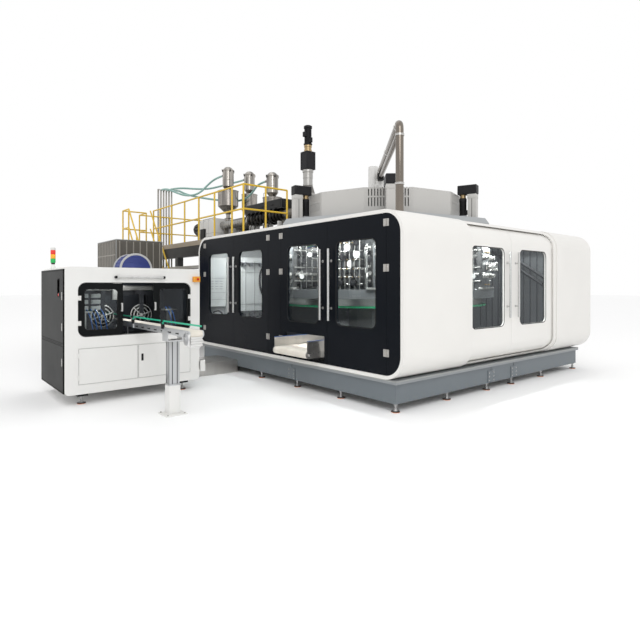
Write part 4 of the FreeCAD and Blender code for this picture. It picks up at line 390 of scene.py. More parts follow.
def mill():
    """Grey mill and hood, the blue belt over its round head, pale cheeks, blue motor."""
    paint = Paint("granulator")
    lift = box_mask(paint, (-7282, -FAR, 0), (-6858, FAR, 2400))
    cheek = (paint.x.near(X(-7286), Z(6.5)) | paint.x.near(X(-6854), Z(6.5)))
    motor = box_mask(paint, (-7660, -1010, 1880), (-7293, -790, 2100))
    dust, slats = paint.noise(2.0, 5), paint.z.wave(0.05)
    blue = paint.mix(dust, (0.028, 0.05, 0.20), (0.055, 0.09, 0.32))
    colour = paint.tinted(
        paint.mix(dust, (0.26, 0.27, 0.265), (0.38, 0.385, 0.37)),
        [(lift, blue), (cheek, (0.52, 0.52, 0.50)), (motor, (0.03, 0.12, 0.38))])
    paint.set(base_color=colour, roughness=paint.shade(dust, 0.34, 0.55),
              normal=paint.bump(slats * lift, 0.3, 0.004))
    return paint


def cabinet_white():
    """White trimming unit, dark inside, with an orange stop box and a pale grab bar."""
    paint = Paint("trimming unit white")
    stop_box = box_mask(paint, (-3219.5, -1290, 1690), (-3150, -1190, 1790))
    bar = box_mask(paint, (-3185, -2510, 1745), (-3150, -1770, 1785))
    ends = box_mask(paint, (-3219.5, -2510, 1740), (-3185, -1770, 1790))
    inside = box_mask(paint, (-4600, -3125, 170), (-3246, -1200, 1880))
    cloud, peel = paint.noise(1.4, 4), paint.noise(150, 2)
    colour = paint.tinted(
        paint.mix(cloud, (0.72, 0.715, 0.695), (0.79, 0.785, 0.765)),
        [(inside, (0.030, 0.034, 0.042)), (stop_box, (0.78, 0.36, 0.03)),
         (bar, (0.62, 0.62, 0.60)), (ends, (0.015, 0.015, 0.015))])
    paint.set(base_color=colour, roughness=paint.shade(cloud, 0.32, 0.42),
              metallic=bar * 0.6, normal=paint.bump(peel, 0.1, 0.0006))
    return paint


def trim_black():
    """Black doors of the trimming unit; hinges and pulls before the leaf are pale."""
    paint = Paint("trimming door black")
    hinge = (paint.x > X(-3219.5)) & ((paint.y < Y(-2900)) | (paint.y > Y(-1400)))
    pull = (paint.x > X(-3219.5)) & (1 - hinge)
    cloud, peel = paint.noise(1.2, 4), paint.noise(150, 2)
    near_leaf = paint.y < Y(-3139)
    leaf = paint.mix(cloud, (0.006, 0.0068, 0.0072), (0.011, 0.012, 0.0125))
    leaf = paint.mix(near_leaf, leaf, (0.0035, 0.0042, 0.004))
    colour = paint.mix(hinge, paint.mix(pull, leaf, (0.52, 0.52, 0.51)), (0.72, 0.71, 0.69))
    paint.set(base_color=colour, roughness=paint.shade(cloud, 0.3, 0.42),
              specular_ior_level=0.05, normal=paint.bump(peel, 0.12, 0.0006))
    return paint


def lamps():
    """Signal tower: white cone foot, black ring, green, amber and red lamp, cap, all with a
    faint glow that is painted light.
    """
    paint = Paint("signal lamps")
    step = 68.0
    start = 1900 + step + 0.35 * step
    colour = paint.tinted((0.72, 0.72, 0.70), [(paint.z > Z(low), tone) for low, tone in (
        (1900 + step, (0.015, 0.015, 0.015)), (start, (0.02, 0.42, 0.10)),
        (start + 0.95 * step, (0.85, 0.40, 0.03)),
        (start + 1.9 * step, (0.75, 0.03, 0.02)),
        (start + 2.85 * step, (0.62, 0.62, 0.60)))])
    ribs = paint.z.wave(0.006)
    lit = box_mask(paint, (-FAR, -FAR, start), (FAR, FAR, start + 2.85 * step))
    # a faint glow of its own colour over the whole tower, foot and cap too: painted light
    paint.set(base_color=colour, roughness=0.22, emission_color=colour,
              emission_strength=0.12, normal=paint.bump(ribs * lit, 0.35, 0.002))
    return paint


def outlet_finish():
    """Aluminium outlet conveyor: green guide, white lower stand, pale nose."""
    paint = Paint("outlet conveyor")
    guide = paint.z > Z(1150)
    lower = box_mask(paint, (-2160, -2300, -1), (-1840, -2000, 380))
    nose = box_mask(paint, (-1440, -2260, 930), (-1305, -2225, 1075))
    streak, stain = paint.noise(30, 3, stretch=(1, 1, 18)), paint.noise(2, 3)
    colour = paint.tinted(
        paint.mix(stain, (0.50, 0.51, 0.52), (0.66, 0.67, 0.68)),
        [(guide, (0.02, 0.46, 0.27)), (lower, (0.74, 0.735, 0.715)),
         (nose, (0.72, 0.72, 0.71))])
    paint.set(base_color=colour, metallic=(1 - (guide | lower | nose)) * 0.85,
              roughness=paint.shade(streak, 0.28, 0.46),
              normal=paint.bump(streak, 0.08, 0.0006))
    return paint


def base_finish():
    """Blue-grey base, paler along its top edge."""
    paint = Paint("base grey")
    top = paint.z > Z(369)
    cloud, peel = paint.noise(1.5, 5), paint.noise(140, 2)
    colour = paint.mix(cloud, (0.115, 0.135, 0.150), (0.155, 0.178, 0.195))
    paint.set(base_color=paint.mix(top, colour, (0.25, 0.265, 0.275)),
              roughness=paint.shade(cloud, 0.36, 0.5), normal=paint.bump(peel, 0.14, 0.0006))
    return paint


FINISH = {
    "base_frame": base_finish(), "levelling_feet": feet(), "front": front_black(),
    "cover": cover_white(), "slide": door_white(),
    "pane": clear_pane(), "duct": brushed("conveyor steel", stretch=(1, 18, 1)),
    "belt": belt_cloth(), "inside": lacquer("inner grey", (0.13, 0.135, 0.14), 0.4),
    "clamp": lacquer("clamp steel", (0.085, 0.085, 0.085), 0.34, metallic=0.5),
    # the tower's white is painted darker than the covers' white: painted shade
    "tower": lacquer("tower white with painted shade", (0.53, 0.52, 0.50), 0.42),
    "deck": lacquer("deck grey", (0.36, 0.375, 0.385), 0.38), "drives": tower_drives(),
    "steel": brushed("stainless pipe", (0.38, 0.36, 0.33), (1, 1, 20), 0.24),
    "head": lacquer("die head iron", (0.20, 0.19, 0.18), 0.5, metallic=0.6),
    "servo": servo(), "platform": platform_finish(),
    "rail": lacquer("rail yellow", (0.76, 0.50, 0.035), 0.3, shade=0.88),
    "extruder": extruder_finish(),
    # the hoppers' brown tone and deep dark streaks are painted reflection
    "hopper": brushed("hopper steel with painted reflection", (0.42, 0.39, 0.36), roughness=0.24, depth=0.45),
    "mill": mill(), "cabinet": cabinet_white(), "trim": trim_black(),
    "stop": lacquer("stop red", (0.62, 0.02, 0.015), 0.22), "lamps": lamps(),
    "outlet": outlet_finish(),
    "trimming_iron": lacquer("trimming head iron", (0.045, 0.047, 0.052), 0.34, metallic=0.6),
}
# the solids that wear each finish
DRESS = {
    "base_frame": "base_frame", "levelling_feet": "levelling_feet",
    "cover": "front_rim main_cover right_front_cover right_rear_cover",
    "front": "front_posts front_door_1 front_door_2 front_door_3 front_door_4",
    "slide": "side_door_1 side_door_2",
    "pane": "front_glass_1 front_glass_2 front_glass_3 front_glass_4 "
    "side_glass_1 side_glass_2 trimmer_glass_1 trimmer_glass_2",
    "trim": "trimmer_window_door_1 trimmer_window_door_2 "
    "trimmer_side_door_1 trimmer_side_door_2",
    "cabinet": "trimmer_cabinet trimmer_lower_door_1 trimmer_lower_door_2",
    "duct": "scrap_conveyor_frame", "belt": "scrap_conveyor_belt outlet_belt",
    "inside": "carousel_table",
    "clamp": "clamp_frames moving_platen_1 moving_platen_2 moving_platen_3 "
    "moving_platen_4 moving_platen_5 moving_platen_6",
    "tower": "tower_cover clamp_columns", "deck": "tower_deck", "drives": "clamp_drives",
    "steel": "rotary_union pipe_gantry conveying_pipes", "head": "die_head",
    "servo": "parison_servo", "platform": "platform", "rail": "railings",
    "extruder": "extruders", "hopper": "hoppers", "mill": "granulator",
    "stop": "estop_button", "lamps": "signal_tower", "trimming_iron": "trimming_head",
    "outlet": "outlet_conveyor",
}
for finish, names in DRESS.items():
    for name in names.split():
        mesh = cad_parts[name].data
        mesh.materials.clear()
        mesh.materials.append(FINISH[finish].material)


# ---- hoses -----------------------------------------------------------------------------
def hose_finish():
    """Soft teal hose with its spiral rib."""
    paint = Paint("hose green")
    ribs = paint.node("ShaderNodeTexWave", {"wave_type": "BANDS"},
                      {"Vector": paint.point, "Scale": 22.0})
    cloud = paint.noise(3, 3)
    paint.set(base_color=paint.mix(cloud, (0.20, 0.36, 0.33), (0.34, 0.52, 0.47)),
              roughness=0.34, normal=paint.bump(ribs, 0.25, 0.003))
    return paint


HOSE = hose_finish()
HOSE_START = Vector((-11382, 1430, 4714.3))
HOSE_ROUTES = [
    (1, [(330, 0, 0), (680, 130, -150), (1020, 370, -300), (1320, 650, -246),
         (1400, 960, 120), (1652, 1070, 253.75)], (-9330, 2590, 4968.05)),
    (3, [(330, 0, 0), (660, 200, 10), (930, 540, -20), (1110, 920, 0),
         (1260, 1280, 120), (1400, 1560, 220), (1642, 1690, 253.75)],
     (-9420, 3390, 4968.05)),
    (5, [(350, 0, 0), (740, 110, -190), (1200, 380, -330), (1680, 800, -430),
         (2180, 1080, -500), (2620, 1160, -480), (2960, 1200, -330),
         (3252, 1210, -106.25)], (-7730, 3090, 4608.05)),
]


def hang_hoses():
    """Each conveying hose from its pipe's stub to its loader, as one smooth tube."""
    for number, (pipe, steps, end) in enumerate(HOSE_ROUTES, start=1):
        start = HOSE_START + Vector((0, 90 * pipe, 0))
        points = [start] + [start + Vector(step) for step in steps] + [Vector(end)]
        curve = bpy.data.curves.new(f"hose_{number}_tube", "CURVE")
        curve.dimensions = "3D"
        curve.bevel_depth = 0.030
        curve.bevel_resolution = 4
        curve.use_fill_caps = True
        spline = curve.splines.new("NURBS")
        spline.points.add(len(points) - 1)
        for knot, point in zip(spline.points, points):
            knot.co = (*at(*point), 1.0)
        spline.order_u = 3
        spline.use_endpoint_u = True
        spline.resolution_u = 12
        curve.materials.append(HOSE.material)
        tube = bpy.data.objects.new(f"hose_{number}_tube", curve)
        bpy.context.collection.objects.link(tube)
        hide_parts(f"hose_{number}")
        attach(tube, "machine")
        tuple(at(*start))


# ---- working a primitive into a piece --------------------------------------------------
WAYS = {"z": Matrix(), "-z": Matrix.Rotation(math.pi, 4, "X"),
        "x": Matrix.Rotation(math.pi / 2, 4, "Y"), "-x": Matrix.Rotation(-math.pi / 2, 4, "Y"),
        "y": Matrix.Rotation(-math.pi / 2, 4, "X"), "-y": Matrix.Rotation(math.pi / 2, 4, "X")}
# drawn in the plane, then stood up on the black front or on the white right-hand side
ON_FRONT = Matrix(((1, 0, 0, 0), (0, 0, -1, 0), (0, 1, 0, 0), (0, 0, 0, 1)))
ON_SIDE = Matrix(((0, 0, 1, 0), (1, 0, 0, 0), (0, 1, 0, 0), (0, 0, 0, 1)))
WAYS_SIDE = Matrix.Rotation(math.pi / 2, 4, "Z")


def opened(kind, **shape):
    """Adds a primitive, the only thing selected."""
    bpy.ops.object.select_all(action="DESELECT")
    getattr(bpy.ops.mesh, f"primitive_{kind}_add")(**shape)
    return bpy.context.object


def pick(piece, wanted):
    """Opens the piece for editing with only the wanted faces selected."""
    bpy.ops.object.mode_set(mode="EDIT")
    bpy.ops.mesh.select_mode(type="FACE")
    bpy.ops.mesh.select_all(action="DESELECT")
    bpy.ops.object.mode_set(mode="OBJECT")
    for face in piece.data.polygons:
        face.select = wanted(face)
    bpy.ops.object.mode_set(mode="EDIT")


def closed(piece, bevel=0.0):
    """Out of edit mode: faces turned outwards, sharp edges rounded, round faces smooth."""
    bpy.ops.mesh.select_all(action="SELECT")
    bpy.ops.mesh.normals_make_consistent(inside=False)
    bpy.ops.object.mode_set(mode="OBJECT")
    if bevel:
        rounding = piece.modifiers.new("rounding", "BEVEL")
        rounding.width, rounding.segments = bevel / 1000, 2
        rounding.limit_method, rounding.angle_limit = "ANGLE", math.radians(40)
        bpy.ops.object.modifier_apply(modifier=rounding.name)
    bpy.ops.object.shade_smooth_by_angle(angle=math.radians(35))
    return piece


def turned(rings, sides=32):
    """A piece turned about +z: a disc drawn out through (height, radius) rings."""
    (height, radius), *rest = [(h / 1000, r / 1000) for h, r in rings]
    piece = opened("circle", vertices=sides, radius=radius, fill_type="NGON")
    piece.data.transform(Matrix.Translation((0, 0, height)))
    bpy.ops.object.mode_set(mode="EDIT")
    bpy.ops.mesh.select_all(action="SELECT")
    for level, reach in rest:
        bpy.ops.mesh.extrude_region_move(
            TRANSFORM_OT_translate={"value": (0, 0, level - height)})
        bpy.ops.transform.resize(value=(reach / radius, reach / radius, 1),
                                 center_override=(0, 0, level))
        height, radius = level, reach
    return closed(piece)


def block(low, high, bevel=3.0, panels=()):
    """A block between two corners about its own zero, in millimetres; each panel is the
    way it faces, its margin and how far it stands out of the face or, below 0, is sunk."""
    low, high = Vector(low) / 1000, Vector(high) / 1000
    piece = opened("cube", size=1)
    size = high - low
    piece.data.transform(Matrix.Translation((low + high) / 2) @ Matrix.Diagonal((*size, 1)))
    bpy.ops.object.mode_set(mode="EDIT")
    bpy.ops.mesh.select_all(action="SELECT")
    bpy.ops.mesh.bevel(offset=bevel / 1000, segments=2, affect="EDGES")
    bpy.ops.object.mode_set(mode="OBJECT")
    for way, margin, depth in panels:
        out = (WAYS[way] @ Vector((0, 0, 1))).normalized()
        edge = max(out.dot(face.center) for face in piece.data.polygons)
        pick(piece, lambda face: face.normal.dot(out) > 0.99
             and out.dot(face.center) > edge - 1e-5)
        bpy.ops.mesh.inset(thickness=margin / 1000)
        bpy.ops.mesh.extrude_region_move(TRANSFORM_OT_translate={"value": out * (depth / 1000)})
        bpy.ops.object.mode_set(mode="OBJECT")
    bpy.ops.object.mode_set(mode="EDIT")
    return closed(piece)


def frame_strip(width, height, corner, thickness, depth, bevel=1.0):
    """A round-cornered frame, drawn flat from zero and as deep as given."""
    piece = opened("plane", size=1)
    piece.data.transform(Matrix.Diagonal((width / 1000, height / 1000, 1, 1))
                         @ Matrix.Translation((0.5, 0.5, 0)))
    bpy.ops.object.mode_set(mode="EDIT")
    bpy.ops.mesh.select_all(action="SELECT")
    bpy.ops.mesh.bevel(offset=corner / 1000, segments=8, affect="VERTICES")
    bpy.ops.mesh.select_all(action="SELECT")
    bpy.ops.mesh.inset(thickness=thickness / 1000)
    bpy.ops.mesh.delete(type="FACE")
    bpy.ops.mesh.select_all(action="SELECT")
    bpy.ops.mesh.extrude_region_move(TRANSFORM_OT_translate={"value": (0, 0, depth / 1000)})
    return closed(piece, bevel)


def pipe(path, radius, bend):
    """A pipe along straight runs through points in millimetres, with a spun elbow at
    each corner."""
    sides = 28
    points = [at(*point) for point in path]
    ways = [(b - a).normalized() for a, b in zip(points, points[1:])]
    piece = opened("circle", vertices=sides, radius=radius / 1000, fill_type="NGON")
    piece.data.transform(Matrix.Translation(points[0])
                         @ ways[0].to_track_quat("Z", "Y").to_matrix().to_4x4())
    bpy.ops.object.mode_set(mode="EDIT")
    bpy.ops.mesh.select_all(action="SELECT")
    here, bend = points[0], bend / 1000
    for corner, into, out in zip(points[1:], ways, ways[1:]):
        turn = into.angle(out)
        back = bend * math.tan(turn / 2)
        bpy.ops.mesh.extrude_region_move(
            TRANSFORM_OT_translate={"value": corner - into * back - here})
        axis = into.cross(out).normalized()
        middle = corner - into * back + axis.cross(into) * bend
        bpy.ops.mesh.spin(steps=10, angle=-turn, center=middle, axis=axis)
        here = corner + out * back
        spun = sum((v.co for v in bmesh.from_edit_mesh(piece.data).verts if v.select),
                   Vector()) / sides
        if (spun - here).length > bend / 2:
            raise RuntimeError(f"the elbow at {corner} was spun the wrong way")
    bpy.ops.mesh.extrude_region_move(TRANSFORM_OT_translate={"value": points[-1] - here})
    return closed(piece)


def sleeve(start, end, radius, sides=20):
    """A straight round bar with rounded ends between two points in millimetres."""
    cap = 1.5
    a, b = at(*start), at(*end)
    length = (b - a).length * 1000
    piece = turned([(0, radius - cap), (cap, radius), (length - cap, radius),
                    (length, radius - cap)], sides)
    piece.data.transform(Matrix.Translation(a)
                         @ (b - a).to_track_quat("Z", "Y").to_matrix().to_4x4())
    return piece


def stood(piece, x, y, z, way="z"):
    """A piece drawn about zero, stood at a point in millimetres and facing a way."""
    turn = WAYS[way] if isinstance(way, str) else way
    piece.data.transform(Matrix.Translation(at(x, y, z)) @ turn)
    return piece


def stood_plain(piece, place, way=None, out=0):
    """Moves a piece of a larger one, in millimetres, after turning it and moving it out."""
    turn = way or Matrix()
    piece.data.transform(Matrix.Translation(Vector(place) / 1000) @ turn
                         @ Matrix.Translation((0, 0, out / 1000)))
    return piece


def turned_out(rings, place, way="z", sides=20):
    """A turned piece of a larger one, facing a way, at a place in millimetres."""
    return stood_plain(turned(rings, sides), place, WAYS[way])


def here(*pieces):
    """Pieces drawn in the machine's own frame, brought into the scene as one."""
    return stood(together(pieces), 0, 0, 0)


def copied(piece):
    one = piece.copy()
    one.data = piece.data.copy()
    bpy.context.collection.objects.link(one)
    return one


def repeated(piece, places):
    """The piece drawn about zero, and a copy of it, in one mesh, at each place."""
    several = []
    for x, y, z, *way in places:
        one = copied(piece)
        several.append(stood(one, x, y, z, *(way or ["z"])))
    bpy.data.objects.remove(piece)
    return together(several)


def together(pieces):
    """Pieces of one finish that are fixed together, as one."""
    bpy.ops.object.select_all(action="DESELECT")
    for piece in pieces:
        piece.select_set(True)
    bpy.context.view_layer.objects.active = pieces[0]
    if len(pieces) > 1:
        bpy.ops.object.join()
    return pieces[0]


def around_carousel(piece):
    """A piece drawn about the carousel's axis, out along +x, once at each station."""
    several = []
    for number in range(6):
        one = copied(piece)
        one.data.transform(Matrix.Translation(at(CENTRE_X, CENTRE_Y, 0)) @ Matrix.Rotation(
            math.radians(STATION_TURN + 60 * number), 4, "Z"))
        several.append(one)
    bpy.data.objects.remove(piece)
    return together(several)


def fit(name, piece, finish, body="machine", instead=()):
    """Names a finished piece, gives it its finish and sets it on its body."""
    piece.name = piece.data.name = name
    piece.data.materials.clear()
    piece.data.materials.append(FINISH[finish].material)
    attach(piece, body)
    if instead:
        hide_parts(*instead)


def fit_around(name, piece, finish, instead=()):
    """Fits a piece drawn at one station, about the carousel's axis, at all six."""
    fit(name, around_carousel(piece), finish, "carousel", instead)


def at_station(number, beside=0):
    """Gives a function from out, across and up at a station, in millimetres, to a point."""
    turn = math.radians(STATION_TURN + beside + 60 * number)
    out = Vector((math.cos(turn), math.sin(turn), 0))
    across = Vector((-math.sin(turn), math.cos(turn), 0))
    return lambda r, a, z: Vector((CENTRE_X, CENTRE_Y, z)) + out * r + across * a


def faces(ways, margin, depth):
    """The same panel on several faces of a block."""
    return [(way, margin, depth) for way in ways.split()]


# ---- levelling feet --------------------------------------------------------------------
BASE_LEFT, BASE_RIGHT, BASE_NEAR = -5490, -170, 50
BASE_LENGTH, BASE_DEPTH = 5320, 5325
FEET = [(BASE_LEFT + 45 + i * 1046, y, 0) for i in range(6) for y in (95, 5330)]
FEET += [(x, BASE_NEAR + BASE_DEPTH * share, 0) for x in (BASE_LEFT + 45, BASE_RIGHT - 45)
         for share in (0.215, 0.41, 0.55, 0.743)]
TRIMMER_FEET = [(x, y, 0) for x in (-3340, -4500) for y in (-2900, -1420)]


def levelling_foot(carried):
    """Orange rubber, dark pad, chrome cone, stud and its two nuts."""
    return together([
        turned([(0, 50), (6, 55), (7, 58), (16, 58), (22, 50), (23, 30), (34, 22),
                (44, 16), (46, 14), (carried, 14)], 28),
        turned([(carried - 24, 24), (carried - 22, 26), (carried - 8, 26),
                (carried - 6, 24)], 6),
        turned([(50, 20), (52, 22), (62, 22), (64, 20)], 6)])


def set_feet():
    fit("levelling_feet_turned",
        together([repeated(levelling_foot(113), FEET),
                  repeated(levelling_foot(150), TRIMMER_FEET)]),
        "levelling_feet", instead=["levelling_feet"])
    bracket = block((-70, -70, 112), (70, 70, 150), 3, [("-z", 18, -6)])
    fit("trimmer_foot_brackets", repeated(bracket, TRIMMER_FEET), "black")


# ---- base ------------------------------------------------------------------------------
def hex_bolt(across=11, height=8):
    """Hexagon head on a washer, facing +z."""
    return together([turned([(0, across * 1.05), (2, across * 1.05), (2.4, across)], 20),
                     turned([(2, across * 0.8), (2.4, across * 0.86),
                             (height - 1, across * 0.86), (height, across * 0.7)], 6)])


FRONT_JOINT = BASE_LEFT + BASE_LENGTH * 0.58
SIDE_JOINTS = (BASE_NEAR + BASE_DEPTH * 0.42, BASE_NEAR + BASE_DEPTH * 0.55)


def dress_base():
    """Pale lip under the covers, bolted joint plates, and the bolts of the flange."""
    lip = here(block((-5522, 12, 402), (-138, 18, 417), 2, [("-y", 2, 0.5)]),
               block((-138, 18, 402), (-132, 5405, 417), 2, [("x", 2, 0.5)]))
    fit("base_lip", lip, "base_lip")
    plate = block((-95, -9, 0), (95, 0, 190), 3, [("-y", 10, 2)])
    fit("base_joint_plates", repeated(plate, [(FRONT_JOINT + 6, BASE_NEAR, 118)] + [
        (BASE_RIGHT, y + 6, 118, WAYS_SIDE) for y in SIDE_JOINTS]), "base_frame")
    bolts = [(FRONT_JOINT + 6 + dx, BASE_NEAR - 9, 118 + dz, "-y")
             for dx in (-65, 65) for dz in (35, 95, 155)]
    bolts += [(BASE_RIGHT + 9, y + 6 + dy, 118 + dz, "x") for y in SIDE_JOINTS
              for dy in (-65, 65) for dz in (35, 95, 155)]
    fit("base_bolts", repeated(hex_bolt(), bolts), "bright")


# ---- front and side doors --------------------------------------------------------------
HINGE_LINES = {1: (-5370, 1), 2: (-3020, -1), 3: (-2640, 1), 4: (-290, -1)}
LEAF, WINDOW_WIDTH, WINDOW_SIDE = 1175, 780, 190
BAR_OUT, BAR_LOW, SIDE_WINDOW = 60, 1130, 890
HINGE_LOWS = [476 + 2108 * share for share in (0.115, 0.64, 0.92)]


def door_bar():
    """A bar handle drawn about its lower end: tube, end caps, and posts with collars."""
    height, standoff, radius = 1050, BAR_OUT, 18.4
    bar = turned([(0, radius - 4), (3, radius), (height - 3, radius), (height, radius - 4)], 24)
    posts = []
    for share in (0.17, 0.83):
        post = turned([(0, 20), (4, 20), (5, 11), (standoff - 6, 11)], 20)
        post.data.transform(Matrix.Translation((0, standoff / 1000, height * share / 1000))
                            @ WAYS["-y"])
        posts.append(post)
    return together([bar, *posts])


def screw_head(radius=6.5):
    """Countersunk screw with its socket sunk in."""
    return turned([(-1, radius), (0.6, radius), (1.4, radius * 0.8), (1.4, radius * 0.45),
                   (0.2, radius * 0.4)], 16)


def hang_door_fittings():
    for number, (line, way) in HINGE_LINES.items():
        body = f"front_door_{number}_leaf"
        x = line + way * (LEAF - 95)
        fit(f"front_door_{number}_bar", stood(door_bar(), x, -BAR_OUT, BAR_LOW), "bar",
            body)
        low = line + WINDOW_SIDE if way > 0 else line - WINDOW_SIDE - WINDOW_WIDTH
        gasket = frame_strip(WINDOW_WIDTH + 26, 1226, 100, 15, 3.5)
        fit(f"front_door_{number}_gasket", stood(gasket, low - 13, 0.5, 1057, ON_FRONT),
            "rubber", body)
        screws, knuckles = [], []
        for z in HINGE_LOWS:
            screws += [(line + way * dx, -5, z + dz, "-y") for dx in (18, 36)
                       for dz in (16, 80)]
            knuckles += [(line, -8, z - 0.2), (line, -8, z + 64)]
        fit(f"front_door_{number}_hinge_screws", repeated(screw_head(), screws), "bright",
            body)
        knuckle = turned([(0, 7), (1, 8.5), (31, 8.5), (31.7, 7)], 20)
        fit(f"front_door_{number}_knuckles", repeated(knuckle, knuckles), "hinge",
            body)
    fixed, screws = [], []
    for line, way in HINGE_LINES.values():
        for z in HINGE_LOWS:
            fixed.append((line, -8, z + 32.1))
            screws += [(line - way * dx, -5, z + dz, "-y") for dx in (18, 36)
                       for dz in (16, 80)]
    knuckle = turned([(0, 7), (1, 8.5), (30.6, 8.5), (31.6, 7)], 20)
    fit("hinge_knuckles_fixed", repeated(knuckle, fixed), "hinge")
    fit("hinge_screws_fixed", repeated(screw_head(), screws), "bright")
    for number, (start, handle) in enumerate(((1587, 2568), (2979, 2828)), 1):
        body = f"side_door_{number}_leaf"
        gasket = frame_strip(SIDE_WINDOW + 24, 1239, 100, 14, 3.5)
        fit(f"side_door_{number}_gasket", stood(gasket, -50.5, start - 12, 993, ON_SIDE),
            "rubber", body)
        bar = door_bar()
        bar.data.transform(WAYS_SIDE)
        fit(f"side_door_{number}_bar", stood(bar, 10, handle, BAR_LOW), "bar",
            body)


# ---- tower: its own place is the carousel's axis ---------------------------------------
ROOF, DECK_TOP, DRUM_TOP = 2640, 2860, 3324


def ringed(low, high, radius, deep, pitch, thick=3.0):
    """Rings for a turned finned body: fins of a pitch between two heights."""
    rings = [(low, radius - deep), (low + 2, radius)]
    z = low + 2
    while z + pitch < high:
        rings += [(z + thick, radius), (z + thick + 1, radius - deep),
                  (z + pitch - 1, radius - deep), (z + pitch, radius)]
        z += pitch
    return rings + [(high - 2, radius), (high, radius - deep)]


def dress_drives():
    """On each station: a finned lift motor, its brass ring, and the belt housing's cap."""
    motor = together([turned([(2925, 58), (2930, 67), (2950, 67), (2951, 60)]
                             + ringed(2952, 3180, 66, 6, 11)
                             + [(3184, 67), (3240, 67), (3245, 60)], 28),
                      block((45, -34, 2945), (98, 34, 3025), 6, [("x", 8, 3)])])
    stood_plain(motor, (LIFT_OUT, 0, 0))
    fit_around("lift_motors", motor, "motor", ["clamp_drives"])
    stand = block((-66, -66, 2860), (66, 66, 2925), 4, [("y", 12, -20), ("-y", 12, -20)])
    stood_plain(stand, (LIFT_OUT, 0, 0))
    fit_around("lift_motor_stands", stand, "deck")
    ring = turned([(3245, 52), (3248, 56), (3262, 56), (3264, 50), (3290, 50), (3292, 56),
                   (3308, 56), (3310, 52)], 28)
    stood_plain(ring, (LIFT_OUT, 0, 0))
    fit_around("lift_brass_rings", ring, "brass")
    housing = together([block((-85, -85, 3310), (265, 85, 3480), 14,
                              [("z", 16, 0.01), ("x", 18, -4), ("y", 18, -3), ("-y", 18, -3)]),
                        block((-60, -30, 3330), (-85, 30, 3400), 5, [("-x", 6, 0.01)])])
    stood_plain(housing, (LIFT_OUT, 0, 0))
    fit_around("lift_belt_housings", housing, "motor")
    cap = block((1780, -80, 3230), (1940, 80, 3309), 5, [("x", 14, 2)])
    fit_around("column_caps", cap, "tower")
    seam = block((1855, -76, 2870), (1865, 76, 3228), 1.5, [("y", 2, 0.5)])
    fit_around("column_seams", seam, "rubber")


def dress_tower():
    """Corner strips and screws of the louvred cover, and a black sheet behind its louvres as
    painted shade.
    """
    strip = block((-13, -26, DECK_TOP + 2), (3, 26, DRUM_TOP - 3), 2, [("x", 7, 1)])
    strips = []
    for i in range(12):
        one = copied(strip)
        turn = math.radians(STATION_TURN + 15 + 30 * i)
        one.data.transform(Matrix.Translation(at(CENTRE_X, CENTRE_Y, 0))
                           @ Matrix.Rotation(turn, 4, "Z")
                           @ Matrix.Translation((1.575 / math.cos(math.radians(15)) - 0.012,
                                                 0, 0)))
        strips.append(one)
    bpy.data.objects.remove(strip)
    # a black sheet behind the louvres: painted shade
    sheet = block((1548, -380, 2880), (1553, 380, 3292), 1)
    fit_around("louvre_shade_sheet", sheet, "sheet_lining")
    fit("tower_corner_strips", together(strips), "tower", "carousel")
    screws = []
    for i in range(12):
        turn = math.radians(STATION_TURN + 30 * i)
        for side in (-330, -110, 110, 330):
            for z in (2885, 3300):
                x = CENTRE_X + 1575 * math.cos(turn) - side * math.sin(turn)
                y = CENTRE_Y + 1575 * math.sin(turn) + side * math.cos(turn)
                screws.append((x, y, z, Matrix.Rotation(turn, 4, "Z") @ WAYS["x"]))
    fit("tower_screws", repeated(screw_head(8), screws), "bright", "carousel")


